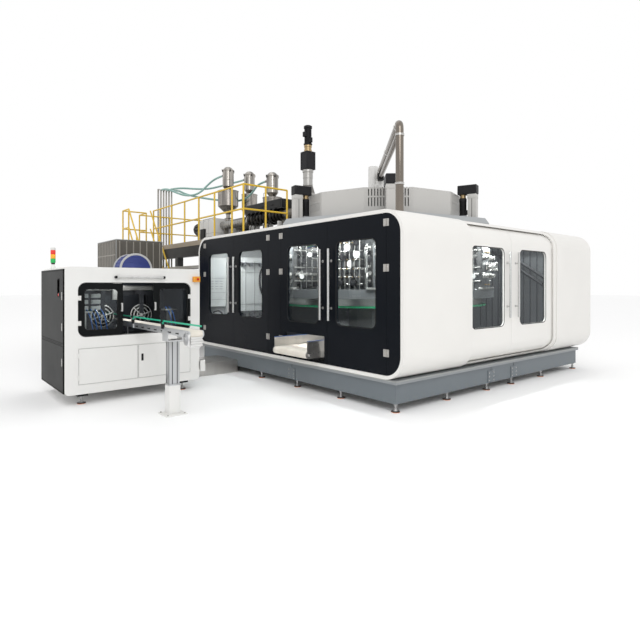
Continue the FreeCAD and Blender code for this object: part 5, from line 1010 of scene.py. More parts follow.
def dress_pipes():
    """Smooth stainless pipes, base flange with bolts, union and slip ring."""
    top, low = 3940, 3800
    x, y = -540, 550
    over, deep = CENTRE_X - x, CENTRE_Y - y
    fit("gantry_pipe", pipe([(x, y, ROOF + 18), (x, y, top),
                             (CENTRE_X, CENTRE_Y, top), (CENTRE_X, CENTRE_Y, low)], 57, 110),
        "pipe", instead=["pipe_gantry"])
    end = (x + over * 0.94, y + deep * 0.94, low)
    fit("gantry_lower_pipe", sleeve((x, y, low), end, 42.5, 24), "pipe")
    flange = together([
        turned([(0, 88), (2, 91), (16, 91), (18, 88), (18, 66), (40, 62), (42, 58)], 36),
        *[stood_plain(hex_bolt(8, 7), (76 * math.cos(a), 76 * math.sin(a), 18))
          for a in (i * math.pi / 4 for i in range(8))]])
    fit("gantry_flange", stood(flange, x, y, ROOF), "bright")
    clamp = turned([(0, 60), (2, 66), (10, 66), (12, 61), (20, 61), (22, 66), (30, 66),
                    (32, 60)], 32)
    heading = math.atan2(deep, over)
    lying = Matrix.Rotation(heading, 4, "Z") @ WAYS["x"]
    spots = [(x, y, 3745), (x, y, 3060)]
    along = [(x + over * s, y + deep * s, top, lying) for s in (0.06, 0.5, 0.94)]
    fit("gantry_clamps", repeated(clamp, spots + along), "bright")
    end_box = together([block((-85, -60, -70), (70, 60, 62), 8, [("x", 14, -6)]),
                        turned([(60, 34), (64, 40), (90, 40), (94, 30)], 24)])
    fit("gantry_end_block", stood(end_box, end[0], end[1], low,
                                  Matrix.Rotation(heading, 4, "Z")), "black")
    union = together([
        turned([(3325, 76), (3330, 80), (3470, 80), (3474, 72), (3500, 72), (3504, 80),
                (3700, 80), (3704, 74), (3720, 74), (3724, 80), (3756, 80), (3760, 70),
                (3762, 58), (3800, 58)], 32),
        *[stood_plain(turned([(0, 26), (4, 30), (40, 30), (44, 20), (52, 20)], 20),
                      (0, 0, z), WAYS["-y"], 74) for z in (3400, 3560, 3650)]])
    fit("rotary_union_turned", stood(union, CENTRE_X, CENTRE_Y, 0), "enamel",
        instead=["rotary_union"])
    slip = turned([(3325, 98), (3332, 103), (3420, 103), (3424, 96), (3440, 96), (3444, 103),
                   (4040, 103), (4046, 98), (4074, 98), (4080, 88)], 36)
    fit("slip_ring_housing", stood(slip, CENTRE_X - 183, CENTRE_Y, 0), "enamel")


def dress_servo():
    """Parison servo: silver lantern, flange, gearbox, brass coupling and finned motor."""
    x, y = -5170, 2590
    lantern = turned([(4020, 112), (4026, 118), (4060, 118), (4064, 112), (4190, 112),
                      (4194, 118), (4330, 118), (4335, 124), (4337, 131), (4396, 131),
                      (4400, 124)], 40)
    fit("servo_lantern", stood(lantern, x, y, 0), "satin_steel",
        instead=["parison_servo"])
    box = block((-131, -131, 4400), (131, 131, 4830), 12,
                [*faces("-y x y -x", 26, -6), ("z", 20, 3)])
    fit("servo_gearbox", stood(box, x, y, 0), "motor")
    brass = turned([(4830, 88), (4834, 94), (4880, 94), (4884, 84), (4940, 84), (4944, 94),
                    (4986, 94), (4990, 88)], 36)
    fit("servo_coupling", stood(brass, x, y, 0), "brass")
    motor = together([turned([(4990, 80), (4993, 86), (5030, 86), (5031, 80)]
                             + ringed(5034, 5400, 86, 6, 15, 5)
                             + [(5404, 84), (5450, 84), (5460, 74)], 36),
                      block((60, -40, 5040), (131, 40, 5160), 8, [("x", 10, 3)]),
                      block((-44, -131, 5180), (44, -60, 5300), 8, [("-y", 10, 3)]),
                      turned([(5000, 92), (5004, 104), (5026, 104), (5030, 92)], 36),
                      turned([(5392, 92), (5396, 100), (5444, 100), (5450, 92)], 36)])
    fit("servo_motor", stood(motor, x, y, 0), "motor")
    band = turned([(0, 171.5), (3, 176), (52, 176), (55, 171.5)], 40)
    fit("head_heater_bands", repeated(band, [(x, y, z) for z in (2950, 3030, 3110, 3190, 3700,
                                                                 3780)]), "satin_steel")


# ---- extruders, hoppers and loaders ----------------------------------------------------
# height of both screws, depth of the main and of the second one
SCREW_Z, SCREW_ONE, SCREW_TWO = 3450.3, 2590, 3090
# axis, radius, rim and seat of each hopper
HOPPERS = [(-9000, 2590, 300, 4440.3, 3565.5), (-9090, 3390, 240, 4440.3, 3480.3),
           (-7400, 3090, 265, 4080.3, 3729.3)]


def hopper_bin(radius, height):
    """Steel hopper: neck with flange, cone with a slide gate, straight wall, rolled rim."""
    neck, slope = height * 0.22, height * 0.27
    shoulder = neck + slope
    return together([
        turned([(0, 74), (12, 74), (13, 60), (neck - 8, 60), (neck - 7, 72), (neck, 72),
                (neck + 1, 60), (shoulder - 2, radius - 3), (shoulder, radius),
                (height - 60, radius), (height - 58, radius + 5), (height - 46, radius + 5),
                (height - 44, radius), (height - 4, radius), (height - 2, radius * 1.05),
                (height + 14, radius * 1.05), (height + 20, radius * 0.98),
                (height + 20, radius * 0.5)], 40),
        block((-90, -75, neck * 0.3), (150, 75, neck * 0.3 + 26), 3, [("x", 8, 4)]),
        stood_plain(frame_strip(90, radius, 30, 16, 8), (-45, 0, shoulder + 40),
                    Matrix.Translation((0, -radius / 1000 + 0.002, 0)) @ ON_FRONT)])


def loader_body():
    """Vacuum loader: cone, bright body with beads, domed lid, inlet stub."""
    rings = [(0, 66), (6, 74), (10, 70), (123, 163), (126, 170), (140, 170), (143, 165),
             (300, 165), (304, 169), (316, 169), (320, 165), (582, 165), (584, 181),
             (592, 184), (612, 184), (618, 181), (624, 165), (640, 150), (690, 100),
             (704, 74), (706, 60)]
    inlet = turned([(0, 34), (24, 34), (26, 40), (40, 40), (42, 34), (200, 34)], 24)
    inlet.data.transform(Matrix.Translation((-0.33, 0, 0.5078)) @ WAYS["x"])
    return together([turned(rings, 40), inlet])


def loader_clamp():
    """Toggle clamp that holds a loader's lid."""
    return together([block((-12, -10, 0), (12, 4, 62), 3, [("-y", 4, 2)]),
                     block((-7, -20, 34), (7, -8, 86), 3, [("z", 3, 2)])])


def dress_hoppers():
    bins, loaders, clamps = [], [], []
    for x, y, radius, top, seat in HOPPERS:
        bins.append(stood(hopper_bin(radius, top - seat), x, y, seat))
        loaders.append(stood(loader_body(), x, y, top + 20))
        for turn in (-100, -10, 80, 170):
            angle = math.radians(turn)
            clamps.append((x + 176 * math.cos(angle), y + 176 * math.sin(angle),
                           top + 20 + 545, Matrix.Rotation(angle + math.pi / 2, 4, "Z")))
    fit("hopper_bins", together(bins), "hopper", instead=["hoppers"])
    fit("vacuum_loaders", together(loaders), "bright_steel")
    fit("loader_clamps", repeated(loader_clamp(), clamps), "black")
    stand = block((-9210, 3270, 2760.3), (-8970, 3510, 3480), 8, faces("-y x -x y", 36, 3))
    fit("hopper_stand", here(stand), "extruder_grey")


def finned_motor(radius, length):
    """A foot-mounted motor, drawn along +z: flange, fins, fan cowl."""
    return turned([(0, radius * 0.94), (4, radius), (26, radius), (28, radius * 0.9)]
                  + ringed(30, length - 120, radius * 0.99, radius * 0.07, 22, 6)
                  + [(length - 117, radius), (length - 12, radius),
                     (length, radius * 0.86), (length, radius * 0.3),
                     (length - 4, radius * 0.28)], 36)


def dress_extruders():
    """Barrels with guard rings, bands and supports, covers, gearboxes, motors and cables."""
    for name, y, radius, scale in (("main", SCREW_ONE, 120, 1.0),
                                   ("second", SCREW_TWO, 90, 0.6)):
        guard = turned([(0, radius * 1.36), (3, radius * 1.405), (87, radius * 1.405),
                        (90, radius * 1.36)], 40)
        fit(f"{name}_heat_guards", repeated(guard, [(-7700 + 150 * (i + 0.2), y, SCREW_Z, "x")
                                                    for i in range(11)]), "dark_steel")
        band = turned([(0, radius + 0.5), (2, radius + 8), (108, radius + 8),
                       (110, radius + 0.5)], 40)
        fit(f"{name}_barrel_bands",
            repeated(band, [(x, y, SCREW_Z, "x") for x in range(-9280, -7800, 130)]),
            "satin_steel")
        motor = finned_motor(210 * scale, 650)
        fit(f"{name}_drive_motor", stood(motor, -10250, y, SCREW_Z, "-x"), "motor")
        half = 310 * scale
        gearbox = block((-10252, y - half - 2, 2790), (-9298, y + half + 2, 3662), 22,
                        [("-y", 70, 4), ("z", 60, 0.5), ("y", 70, 4)])
        fit(f"{name}_gearbox", here(gearbox), "enamel")
        cover = block((-7702, y - radius * 1.6 - 1, SCREW_Z + radius * 1.1),
                      (-5999, y + radius * 1.6 + 1, SCREW_Z + radius * 3.1 + 1), 16,
                      [("-y", 26, 3), ("y", 26, 3)])
        fit(f"{name}_cover", here(cover), "extruder_grey")
        grip = together([block((-60, -24, 0), (60, -16, 14), 3, [("-y", 3, 1)]),
                         block((-60, -16, 2), (-50, 0, 12), 2, [("z", 2, 0.5)]),
                         block((50, -16, 2), (60, 0, 12), 2, [("z", 2, 0.5)])])
        fit(f"{name}_cover_grips",
            repeated(grip, [(x, y - radius * 1.6 - 1, SCREW_Z + radius * 2)
                            for x in (-7300, -6850, -6400)]), "black")
    y = SCREW_ONE
    cables = [line_through([(x, y - 195, 3600), (x + 20, y - 290, 3560),
                            (x - 60, y - 380, 3200), (x - 120, y - 400, 2775)], 14)
              for x in range(-7500, -6050, 210)]
    fit("heater_cables", together(cables), "line_black")
    boxes = [block((-10120, y - 360, 3020), (-9820, y - 306, 3380), 10,
                   [("-y", 14, 4)]),
             block((-9700, y - 350, 2860), (-9420, y - 306, 3120), 10, [("-y", 14, 4)])]
    fit("gearbox_boxes", here(*boxes), "extruder_grey")
    seams = [block((x, y - 318, 2800), (x + 8, y + 318, 3668), 2, [("-y", 2, 0.5)])
             for x in (-9980, -9640)]
    seams += [block((-10256, y - 318, 3220), (-9294, y + 318, 3228), 2, [("-y", 2, 0.5)])]
    seams += [block((-10180, y + side, 3664), (-9380, y + side + 30, 3700), 5,
                    [("z", 6, 2)]) for side in (-240, 210)]
    fit("gearbox_seams", here(*seams), "outline_grey")
    breather = turned([(0, 24), (6, 30), (26, 30), (32, 24)], 24)
    fit("gearbox_breather", stood(breather, -9780, y, 3664), "black")
    mounts = [block((x, y - 150, 2762), (x + 60, y + 150, 3280), 6,
                    [("-y", 16, -6), ("x", 30, -6)]) for x in (-7560, -6900, -6240)]
    fit("barrel_supports", here(*mounts), "enamel")
    bolts = [(x, y - 312, z, "-y") for x in (-10200, -9880, -9560, -9350) for z in (2830, 3620)]
    fit("gearbox_bolts", repeated(hex_bolt(14, 10), bolts), "bright")


# ---- granulator ------------------------------------------------------------------------
def dress_granulator():
    """The lift's blue round head with cleats, cheeks and slatted discs, motor, hood, mill."""
    x, y, z = -7070, -900, 1990
    drum = turned([(0, 326), (4, 331), (416, 331), (420, 326)], 64)
    fit("lift_belt_head", stood(drum, x - 210, y, z, "x"), "lift_blue")
    cleat = block((-204, 0, 0), (204, 7, 12), 2, [("z", 2, 0.5)])
    cleats = []
    for i in range(14):
        turn = math.radians(-20 + i * 15)
        cleats.append((x, y - 331 * math.cos(turn), z + 331 * math.sin(turn),
                       Matrix.Rotation(-turn + math.pi / 2, 4, "X")))
    fit("lift_cleats", repeated(cleat, cleats), "lift_blue")
    cheek = turned([(-1, 354), (1, 358), (15, 358), (17, 355), (17, 320), (11, 316)], 64)
    fit("lift_cheeks", repeated(cheek, [(x + 210, y, z, "x"), (x - 210, y, z, "-x")]),
        "pale_grey")
    disc = turned([(10, 314), (14, 314), (15, 312), (15, 90), (19, 84), (30, 80), (34, 60)], 64)
    fit("lift_guard_discs", repeated(disc, [(x + 210, y, z, "x"), (x - 210, y, z, "-x")]),
        "lift_blue")
    slats = []
    for rise in range(-270, 300, 60):
        reach = math.sqrt(300 ** 2 - rise ** 2)
        if abs(rise) > 100:
            slats.append(block((x + 223, y - reach, z + rise - 6),
                               (x + 229, y + reach, z + rise + 6), 2, [("x", 2, 0.5)]))
    fit("lift_guard_slats", here(*slats), "lift_blue")
    hood_left, hood_right, hood_near = x - 1344 - 546, x - 1344 + 874, y + 330 - 546
    ribs = [block((hood_left + 60 + i * 124, hood_near - 12, 1640),
                  (hood_left + 84 + i * 124, hood_near + 2, 2660), 3, [("-y", 4, 1)])
            for i in range(11)]
    ribs += [block((hood_right - 2, hood_near + 70 + i * 156, 1640),
                   (hood_right + 12, hood_near + 94 + i * 156, 2660), 3, [("x", 4, 1)])
             for i in range(7)]
    ribs += [block((hood_left + 40, hood_near - 10, low),
                   (hood_right - 40, hood_near + 2, low + 24), 3, [("-y", 4, 1)])
             for low in (1980, 2330)]
    fit("mill_hood_ribs", here(*ribs), "extruder_rib")
    motor = finned_motor(100, 378)
    fit("lift_motor", stood(motor, x - 224, y, z, "-x"), "motor_blue")
    side = 1092
    mill_x, mill_y = x - 1344, y + 330
    panel = block((mill_x - side / 2 - 1, mill_y - side / 2 - 1, 1600),
                  (mill_x - side / 2 + side * 1.3 + 1, mill_y + side / 2 + 1, 2700), 18,
                  [("-y", 60, 4), ("x", 60, 4), ("z", 60, 0.5), ("-x", 60, 4)])
    fit("mill_hood_panels", here(panel), "hood_grey")
    lower = block((mill_x - side / 2 - 1, mill_y - side / 2 - 1, 40),
                  (mill_x + side / 2 + 1, mill_y + side / 2 + 1, 1596), 14,
                  faces("-y x -x y", 90, 5))
    fit("mill_lower_panels", here(lower), "hood_grey")


# ---- trimming unit ---------------------------------------------------------------------
FACE, BACK, NEAR = -3220, -4620, -3140
FIELD_NEAR = NEAR + 174
LOWER_NEAR = NEAR + 170


def swing_latch():
    """Flush latch with its swing lever, drawn about its middle, facing -y."""
    return together([block((-17, -2.4, -52), (17, 1, 52), 1.5, [("-y", 5, -1)]),
                     block((-8, -3.4, -40), (8, -1, 18), 1.5, [("-y", 3, 0.4)]),
                     turned_out([(0, 7), (2.6, 7), (3.4, 5)], (0, 0, 32), "-y")])


def dress_trimmer():
    """Gaskets, grippers, brackets, valves, outlines, latches, bar, stop, lamps, switches."""
    for number, start in enumerate((-2889.4, -1832.2), 1):
        gasket = frame_strip(460, 583, 60, 12, 3)
        fit(f"trimmer_gasket_{number}", stood(gasket, FACE + 0.2, start - 10, 1017, ON_SIDE),
            "rubber", f"trimmer_window_{number}")
    rings = []
    for y in (-2450, -1850):
        rings += [stood(turned([(0, r), (2, r + 7), (12, r + 7), (14, r), (14, r - 10),
                                (0, r - 10)], 48), -3944, y, 1170, "x")
                  for r in (168, 120, 66)]
        rings += [stood(block((-9, -160, 0), (9, 160, 20), 4, [("z", 3, 1)]), -3944, y, 1170,
                        Matrix.Rotation(turn, 4, "X") @ WAYS["x"])
                  for turn in (0.3, 1.35, 2.4)]
    fit("gripper_rings", together(rings), "bright")
    gusset = [block((-3760, y, 860), (-3600, y + 24, 1240), 6, [("-y", 16, -4)])
              for y in (-2790, -1500)]
    gusset += [block((-3770, y - 90, 1240), (-3590, y + 110, 1264), 4, [("z", 10, 3)])
               for y in (-2790, -1500)]
    gusset += [block((-4200, -2800, 1560), (-4120, -1480, 1640), 6, [("x", 12, 4)]),
               block((-3900, -2330, 1420), (-3840, -2180, 1860), 6, [("x", 12, 4)])]
    fit("trimming_brackets", here(*gusset), "satin_steel")
    valves = [block((-3700, y, 1280 + 90 * i), (-3640, y + 130, 1340 + 90 * i), 6,
                    [("x", 10, 3)]) for i in range(3) for y in (-2860, -2690)]
    fit("trimming_valves", here(*valves), "pale_grey")
    lines = [line_through([(-3660, y, 1300), (-3560, y + 20, 1240), (-3540, y + 60, 1050),
                           (-3620, y + 100, 900)], 7)
             for y in (-2760, -2700, -2640, -2560, -1560, -1500)]
    fit("trimming_air_lines", together(lines), "line_blue")
    recess = block((-3560, NEAR - 20, 1480), (-3420, NEAR - 16, 1740), 2, [("-y", 12, -2)])
    fit("side_leaf_panel", here(recess), "sheet_lining", "trimmer_side_1")
    knob = turned([(0, 20), (3, 24), (9, 24), (12, 20)], 28)
    fit("side_leaf_knob", stood(knob, -3490, NEAR - 8, 1515, "-y"), "stop",
        "trimmer_side_1")
    for number, (start, wide) in enumerate(((LOWER_NEAR, 816), (LOWER_NEAR + 816, 821)), 1):
        body = f"trimmer_lower_{number}"
        edge = frame_strip(wide - 12, 490, 6, 4, 1.2, 0.4)
        fit(f"trimmer_lower_outline_{number}", stood(edge, FACE, start + 6, 283, ON_SIDE),
            "outline_grey", body)
    latch = together([block((0, -16, -52), (3, 16, 52), 2, [("x", 4, -1)]),
                      block((2, -8, -40), (13, 8, 6), 4, [("x", 3, 1)]),
                      turned_out([(2, 9), (12, 9), (13, 7)], (0, 0, 26), "x", 24)])
    fit("lower_door_latch", stood(latch, FACE, LOWER_NEAR + 816 + 62, 585), "black",
        "trimmer_lower_2")
    outline = frame_strip(1626 + 16, 737 + 16, 106, 8, 2, 0.8)
    fit("trimmer_field_outline", stood(outline, FACE, FIELD_NEAR - 8, 932, ON_SIDE),
        "rubber")
    bar = sleeve((-3182, -2465, 1762), (-3182, -1790, 1762), 15, 24)
    fit("grab_bar", bar, "bar")
    end = turned([(0, 17), (3, 20), (26, 20), (30, 16)], 24)
    fit("grab_bar_ends", repeated(end, [(-3182, -2495, 1762, "y"), (-3182, -1760, 1762, "-y")]),
        "black")
    box = block((-3220, -1304, 1696), (-3159.5, -1216, 1784), 8, [("x", 7, 0.4)])
    fit("stop_box_cover", here(box), "stop_box")
    knob = turned([(0, 12), (3, 18), (5, 20.2), (11, 20.2), (13.5, 18), (14.2, 12)], 32)
    fit("stop_knob", stood(knob, -3153, -1240, 1740, "x"), "stop", "estop",
        ["estop_button"])
    for number, (low, high) in enumerate(((842, 1868), (182, 838)), 1):
        body = f"trimmer_side_{number}"
        edge = frame_strip(1370, high - low - 24, 10, 14, 1.2, 0.5)
        fit(f"side_leaf_outline_{number}",
            stood(edge, BACK + 15, NEAR - 17, low + 12, ON_FRONT), "rubber",
            body)
    fit("side_latches", repeated(swing_latch(), [(-3290, NEAR - 18, 1500, "z"),
                                                 (-3290, NEAR - 18, 1080, "z")]), "bright",
        "trimmer_side_1")
    fit("side_latch_lower", repeated(swing_latch(), [(-3290, NEAR - 18, 600, "z")]),
        "bright", "trimmer_side_2")
    tower = together([
        turned([(0, 40), (4, 42), (10, 42), (14, 36), (60, 24), (66, 20), (68, 20)], 32),
        turned([(68, 26), (70, 27), (88, 27), (91.8, 26)], 32),
        *[turned([(low, 33), (low + 3, 35)] + [(low + 60, 35), (low + 63.6, 33)], 32)
          for low in (92.2, 156.8, 221.4)],
        turned([(286, 33), (289, 35), (318, 35), (326, 30)], 32)])
    fit("signal_lamps", stood(tower, -4396, -3040, 1900), "lamps",
        instead=["signal_tower"])
    switch = block((-3300, -1180, 300), (-3185, -1104, 452), 8, [("x", 10, 2), ("y", 12, -2)])
    fit("switch_box_cover", here(switch), "cabinet")
    face = block((-3187, -1168, 316), (-3182, -1116, 436), 3, [("x", 4, -0.8)])
    fit("switch_panel", here(face), "black")
    rocker = block((0, -14, -10), (5, 14, 10), 2, [("x", 3, 1.5)])
    fit("switch_rockers", repeated(rocker, [(-3182.5, -1142, z) for z in (341, 376, 411)]),
        "enamel")


# ---- outlet and scrap conveyors ---------------------------------------------------------
OUTLET_LEFT, OUTLET_LENGTH = -4100, 2790
STAND_X, STAND_Y = -2000, -2150


def dress_conveyors():
    """Guide rail with clamps, nose, slots and stand of the outlet; scrap belt's trim."""
    guide = block((-4020, -2252, 1182), (-1000, -2240, 1200), 4, [("-y", 4, 0.6)])
    fit("outlet_guide_rail", here(guide), "guide_green")
    nose = turned([(0, 72), (2, 76), (10, 76), (12, 72), (12, 20), (16, 18), (20, 14)], 48)
    fit("outlet_nose_plate", stood(nose, -1385, -2242, 1012, "-y"), "alu")
    links = [block((-1444, -2230, 905), (-1318, -2070, 1058), 34)]
    links += [block((-1322, -2226, 930 + 30 * i), (-1309, -2074, 950 + 30 * i), 4,
                    [("x", 4, 1)]) for i in range(4)]
    fit("outlet_nose_links", here(*links), "enamel")
    slots = [block((x, -2244.5, 1052), (x + 90, -2241, 1066), 1, [("-y", 3, -0.5)])
             for x in range(-3080, -1500, 230)]
    fit("outlet_side_slots", here(*slots), "rubber")
    held = [OUTLET_LEFT + OUTLET_LENGTH * share for share in (0.33, 0.72)]
    clamps = [block((x - 8, -2268, 1090), (x + 32, -2230, 1150), 5, [("-y", 8, 2)])
              for x in held]
    clamps += [block((x, -2276, 1176), (x + 24, -2238, 1206), 4, [("-y", 6, 2)]) for x in held]
    fit("guide_clamps", here(*clamps), "black")
    profile = block((-65, -65, 392), (65, 65, 934), 5)
    fit("stand_profile", stood(profile, STAND_X, STAND_Y, 0), "alu")
    groove = block((-5, -66.5, 394), (5, -64, 930), 0.8, [("-y", 1.5, 0.3)])
    grooves = [stood_plain(copied(groove), (dx, 0, 0)) for dx in (-32, 32)]
    grooves += [stood_plain(copied(groove), (0, dy, 0), WAYS_SIDE) for dy in (-32, 32)]
    bpy.data.objects.remove(groove)
    fit("stand_grooves", stood(together(grooves), STAND_X, STAND_Y, 0), "black")
    lower = block((-73, -73, 12), (73, 73, 381), 6, [("-y", 22, 1), ("x", 22, 1)])
    fit("stand_lower_post", stood(lower, STAND_X, STAND_Y, 0), "cabinet")
    plate = block((-141, -141, 0), (141, 141, 13), 4, [("z", 8, 0.5)])
    fit("stand_plate", stood(plate, STAND_X, STAND_Y, 0), "cabinet")
    fit("stand_bolts", repeated(hex_bolt(13, 11), [(STAND_X + dx, STAND_Y + dy, 13)
                                                   for dx in (-112, 112)
                                                   for dy in (-112, 112)]), "bright")
    collar = block((-76, -76, 372), (76, 76, 392), 4, [("z", 4, 0.5)])
    fit("stand_collar", stood(collar, STAND_X, STAND_Y, 0), "alu")
    fit("outlet_side_screws", repeated(screw_head(7), [(x, -2242, 1070, "-y")
                                                       for x in range(-3000, -1350, 230)]),
        "bright")
    trims = [block((x, -262, 816), (x + 15, 880, 826), 3, [("z", 2, 0.5)])
             for x in (-2455, -1610)]
    fit("scrap_guard_trims", here(*trims), "trim_blue")
    roller = turned([(0, 14), (2, 22), (20, 22), (22, 14), (24, 10), (30, 10)], 24)
    ends = [(-1600, -235, 617, "x"), (-2450, -235, 617, "-x")]
    fit("scrap_shaft_ends", repeated(roller, ends), "bright")
    screws = [(-1600, y, z, "x") for y in (-150, -60) for z in (640, 760)]
    fit("scrap_side_screws", repeated(screw_head(7), screws), "bright")


# ---- carousel: what the windows show ---------------------------------------------------
# depth from the station's middle and height of its two tie bars
BARS = ((-240, 2260), (240, 1700))


def dress_carousel():
    """Each station's nuts, plates, blow pin, cylinder, guides, fittings, valves and lines."""
    nut = turned([(0, 44), (3, 50), (24, 50), (28, 44)], 6)
    nuts = [stood_plain(copied(nut), (2090, y, z), WAYS["x"]) for y, z in BARS]
    bpy.data.objects.remove(nut)
    fit_around("tie_bar_nuts", together(nuts), "bright")
    slotted = block((1139, -290, 1650), (1156, 290, 2310), 3, [("x", 60, 4)])
    fit_around("mould_plates", slotted, "satin_steel")
    back = together([block((2089, y, z), (2098, y + wide, z + high), 2, [("x", 10, 2)])
                     for y, z, wide, high in ((-300, 1600, 238, 710), (62, 1600, 238, 710),
                                              (-60, 1600, 120, RAM_Z - 1662),
                                              (-60, RAM_Z + 62, 120, 2248 - RAM_Z))])
    fit_around("bridge_plates", back, "machine_paint")
    cylinder = together([
        turned_out([(2262, 20), (2268, 26), (2380, 26), (2384, 60), (2390, 64),
                    (2396, 64), (2400, 52), (2520, 52), (2524, 64), (2536, 64),
                    (2540, 58)], (1320, 0, 0), "z", 28),
        *[turned_out([(2392, 6), (2528, 6)], (1320 + dx, dy, 0), "z", 10)
          for dx in (-44, 44) for dy in (-44, 44)]])
    fit_around("blow_pins", cylinder, "bright")
    valves = together([block((1985, -210, 2331), (2089, 210, 2392), 4, [("z", 10, 4)]),
                       *[block((2000, y - 22, 2392), (2074, y + 22, 2440), 3,
                               [("z", 6, 3)]) for y in (-165, -100, -35, 30, 95, 160)]])
    fit_around("valve_blocks", valves, "motor")
    hoops = [stood_plain(frame_strip(2 * reach, 2 * reach, reach - 1, reach - 52, long),
                         (start, -reach, RAM_Z - reach), ON_SIDE)
             for start, long, reach in ((2098, 30, 90), (2128, 120, 74), (2248, 34, 88))]
    studs = [turned_out([(0, 9), (196, 9)], (2100, dy, RAM_Z + dz), "x", 10)
             for dy in (-64, 64) for dz in (-64, 64)]
    closing = together([*hoops, *studs])
    fit_around("closing_cylinders", closing, "bright")
    guides = together([turned_out([(0, 50), (3, 56), (40, 56), (44, 40), (96, 40),
                                   (100, 34), (100, 20), (90, 18)], (2098, dy, z), "x", 28)
                       for dy, z in ((-225, 2140), (225, 2140), (-225, 1820), (225, 1820))])
    fit_around("guide_ends", guides, "satin_steel")
    fittings = together([turned_out([(0, 16), (2, 19), (16, 19), (18, 12), (40, 12)],
                                    (2100, dy, z), "x", 6)
                         for dy, z in ((-120, 2240), (-60, 2240), (60, 2240), (120, 2240),
                                       (-120, 1660), (120, 1660))])
    fit_around("hydraulic_fittings", fittings, "brass")
    drip = block((2062, -420, 1572), (2140, 420, 1606), 4, [("x", 10, 3)])
    fit_around("table_edge_trays", drip, "satin_steel")
    service_stacks()
    flank_packs()
    for number, (turn, shade) in enumerate(((-36, "line_blue"), (-6, "line_green"),
                                            (24, "line_black")), 1):
        lines = []
        for station in range(6):
            place = at_station(station)
            route = [(1990, turn * 4, 2445), (1800, turn * 5, 2500), (1560, turn * 4, 2520),
                     (1400, turn * 2, 2470), (1372, turn, 2420)]
            lines.append(line_through([place(*point) for point in route], 7))
        fit(f"air_lines_{number}", together(lines), shade, "carousel")


def halfway(piece):
    """Turns a piece that is drawn at a station to halfway between two of them."""
    piece.data.transform(Matrix.Rotation(math.radians(30), 4, "Z"))
    return piece


def service_stacks():
    """Between the stations: manifold posts, rods, flow gauges, valves and hoses."""
    posts = together([block((1500, y - 26, 1568), (1552, y + 26, 2500), 6, [("x", 12, -5)])
                      for y in (-300, 0, 300)])
    fit_around("manifold_posts", halfway(posts), "machine_paint")
    bars = [sleeve((1590, -420, z), (1590, 420, z), r, 20)
            for z, r in ((1660, 20), (1790, 14), (1930, 26), (2090, 14), (2235, 20),
                         (2380, 14), (2470, 24))]
    for bar in bars:
        bar.data.transform(Matrix.Translation(-SHIFT))
    fit_around("manifold_bars", halfway(together(bars)), "bright")
    rods = together([turned_out([(1570, 8), (1800, 8), (1802, 15), (1836, 15), (1838, 8),
                                 (2480, 8)], (1650, y, 0), "z", 12)
                     for y in range(-380, 400, 95)])
    fit_around("manifold_rods", halfway(rods), "satin_steel")
    nipples = together([turned_out([(0, 12), (2, 16), (22, 16), (24, 10), (52, 10)],
                                   (1600, y, z), "x", 6)
                        for y in range(-360, 400, 120) for z in (1790, 1930, 2090, 2380)])
    fit_around("manifold_nipples", halfway(nipples), "brass")
    gauges = together([turned_out([(0, 46), (4, 64), (34, 64), (38, 58), (38, 44),
                                   (26, 40)], (1640, y, z), "x", 32)
                       for y, z in ((-210, 2170), (-210, 1880), (150, 2300), (210, 2010),
                                    (330, 2170))])
    fit_around("flow_gauges", halfway(gauges), "enamel")
    boxes = together([block((1600, y - 46, z), (1700, y + 46, z + 84), 6,
                            [("x", 10, 3), ("z", 10, 3)])
                      for y, z in ((-330, 1620), (-120, 2250), (20, 1640), (60, 2080),
                                   (270, 1640), (330, 2330))])
    fit_around("manifold_valves", halfway(boxes), "motor")
    loops = []
    for number in range(6):
        place = at_station(number, beside=30)
        for y, drop, low in ((-340, 70, 1720), (-150, -90, 1850), (40, 60, 1700),
                             (190, 110, 1900), (330, -60, 1760)):
            route = [(1610, y, 2440), (1700, y + drop * 0.4, 2420), (1740, y + drop, 2150),
                     (1730, y + drop * 0.7, low), (1620, y + drop * 0.2, low - 60)]
            loops.append(line_through([place(*point) for point in route], 11))
    fit("manifold_hoses", together(loops), "line_black", "carousel")
    skirt = turned([(1300, 1960), (1302, 1968), (1418, 1968), (1420, 1960), (1420, 1900)], 96)
    fit("table_skirt", stood(skirt, CENTRE_X, CENTRE_Y, 0), "satin_steel",
        "carousel")
    hose = opened("torus", major_radius=2.02, minor_radius=0.018, major_segments=96,
                  minor_segments=12)
    hanger = block((1955, -12, 1262), (2040, 12, 1306), 3, [("x", 4, 1)])
    fit("table_hose_ring", stood(hose, CENTRE_X, CENTRE_Y, 1284), "line_green",
        "carousel")
    fit_around("table_hose_hangers", hanger, "black")


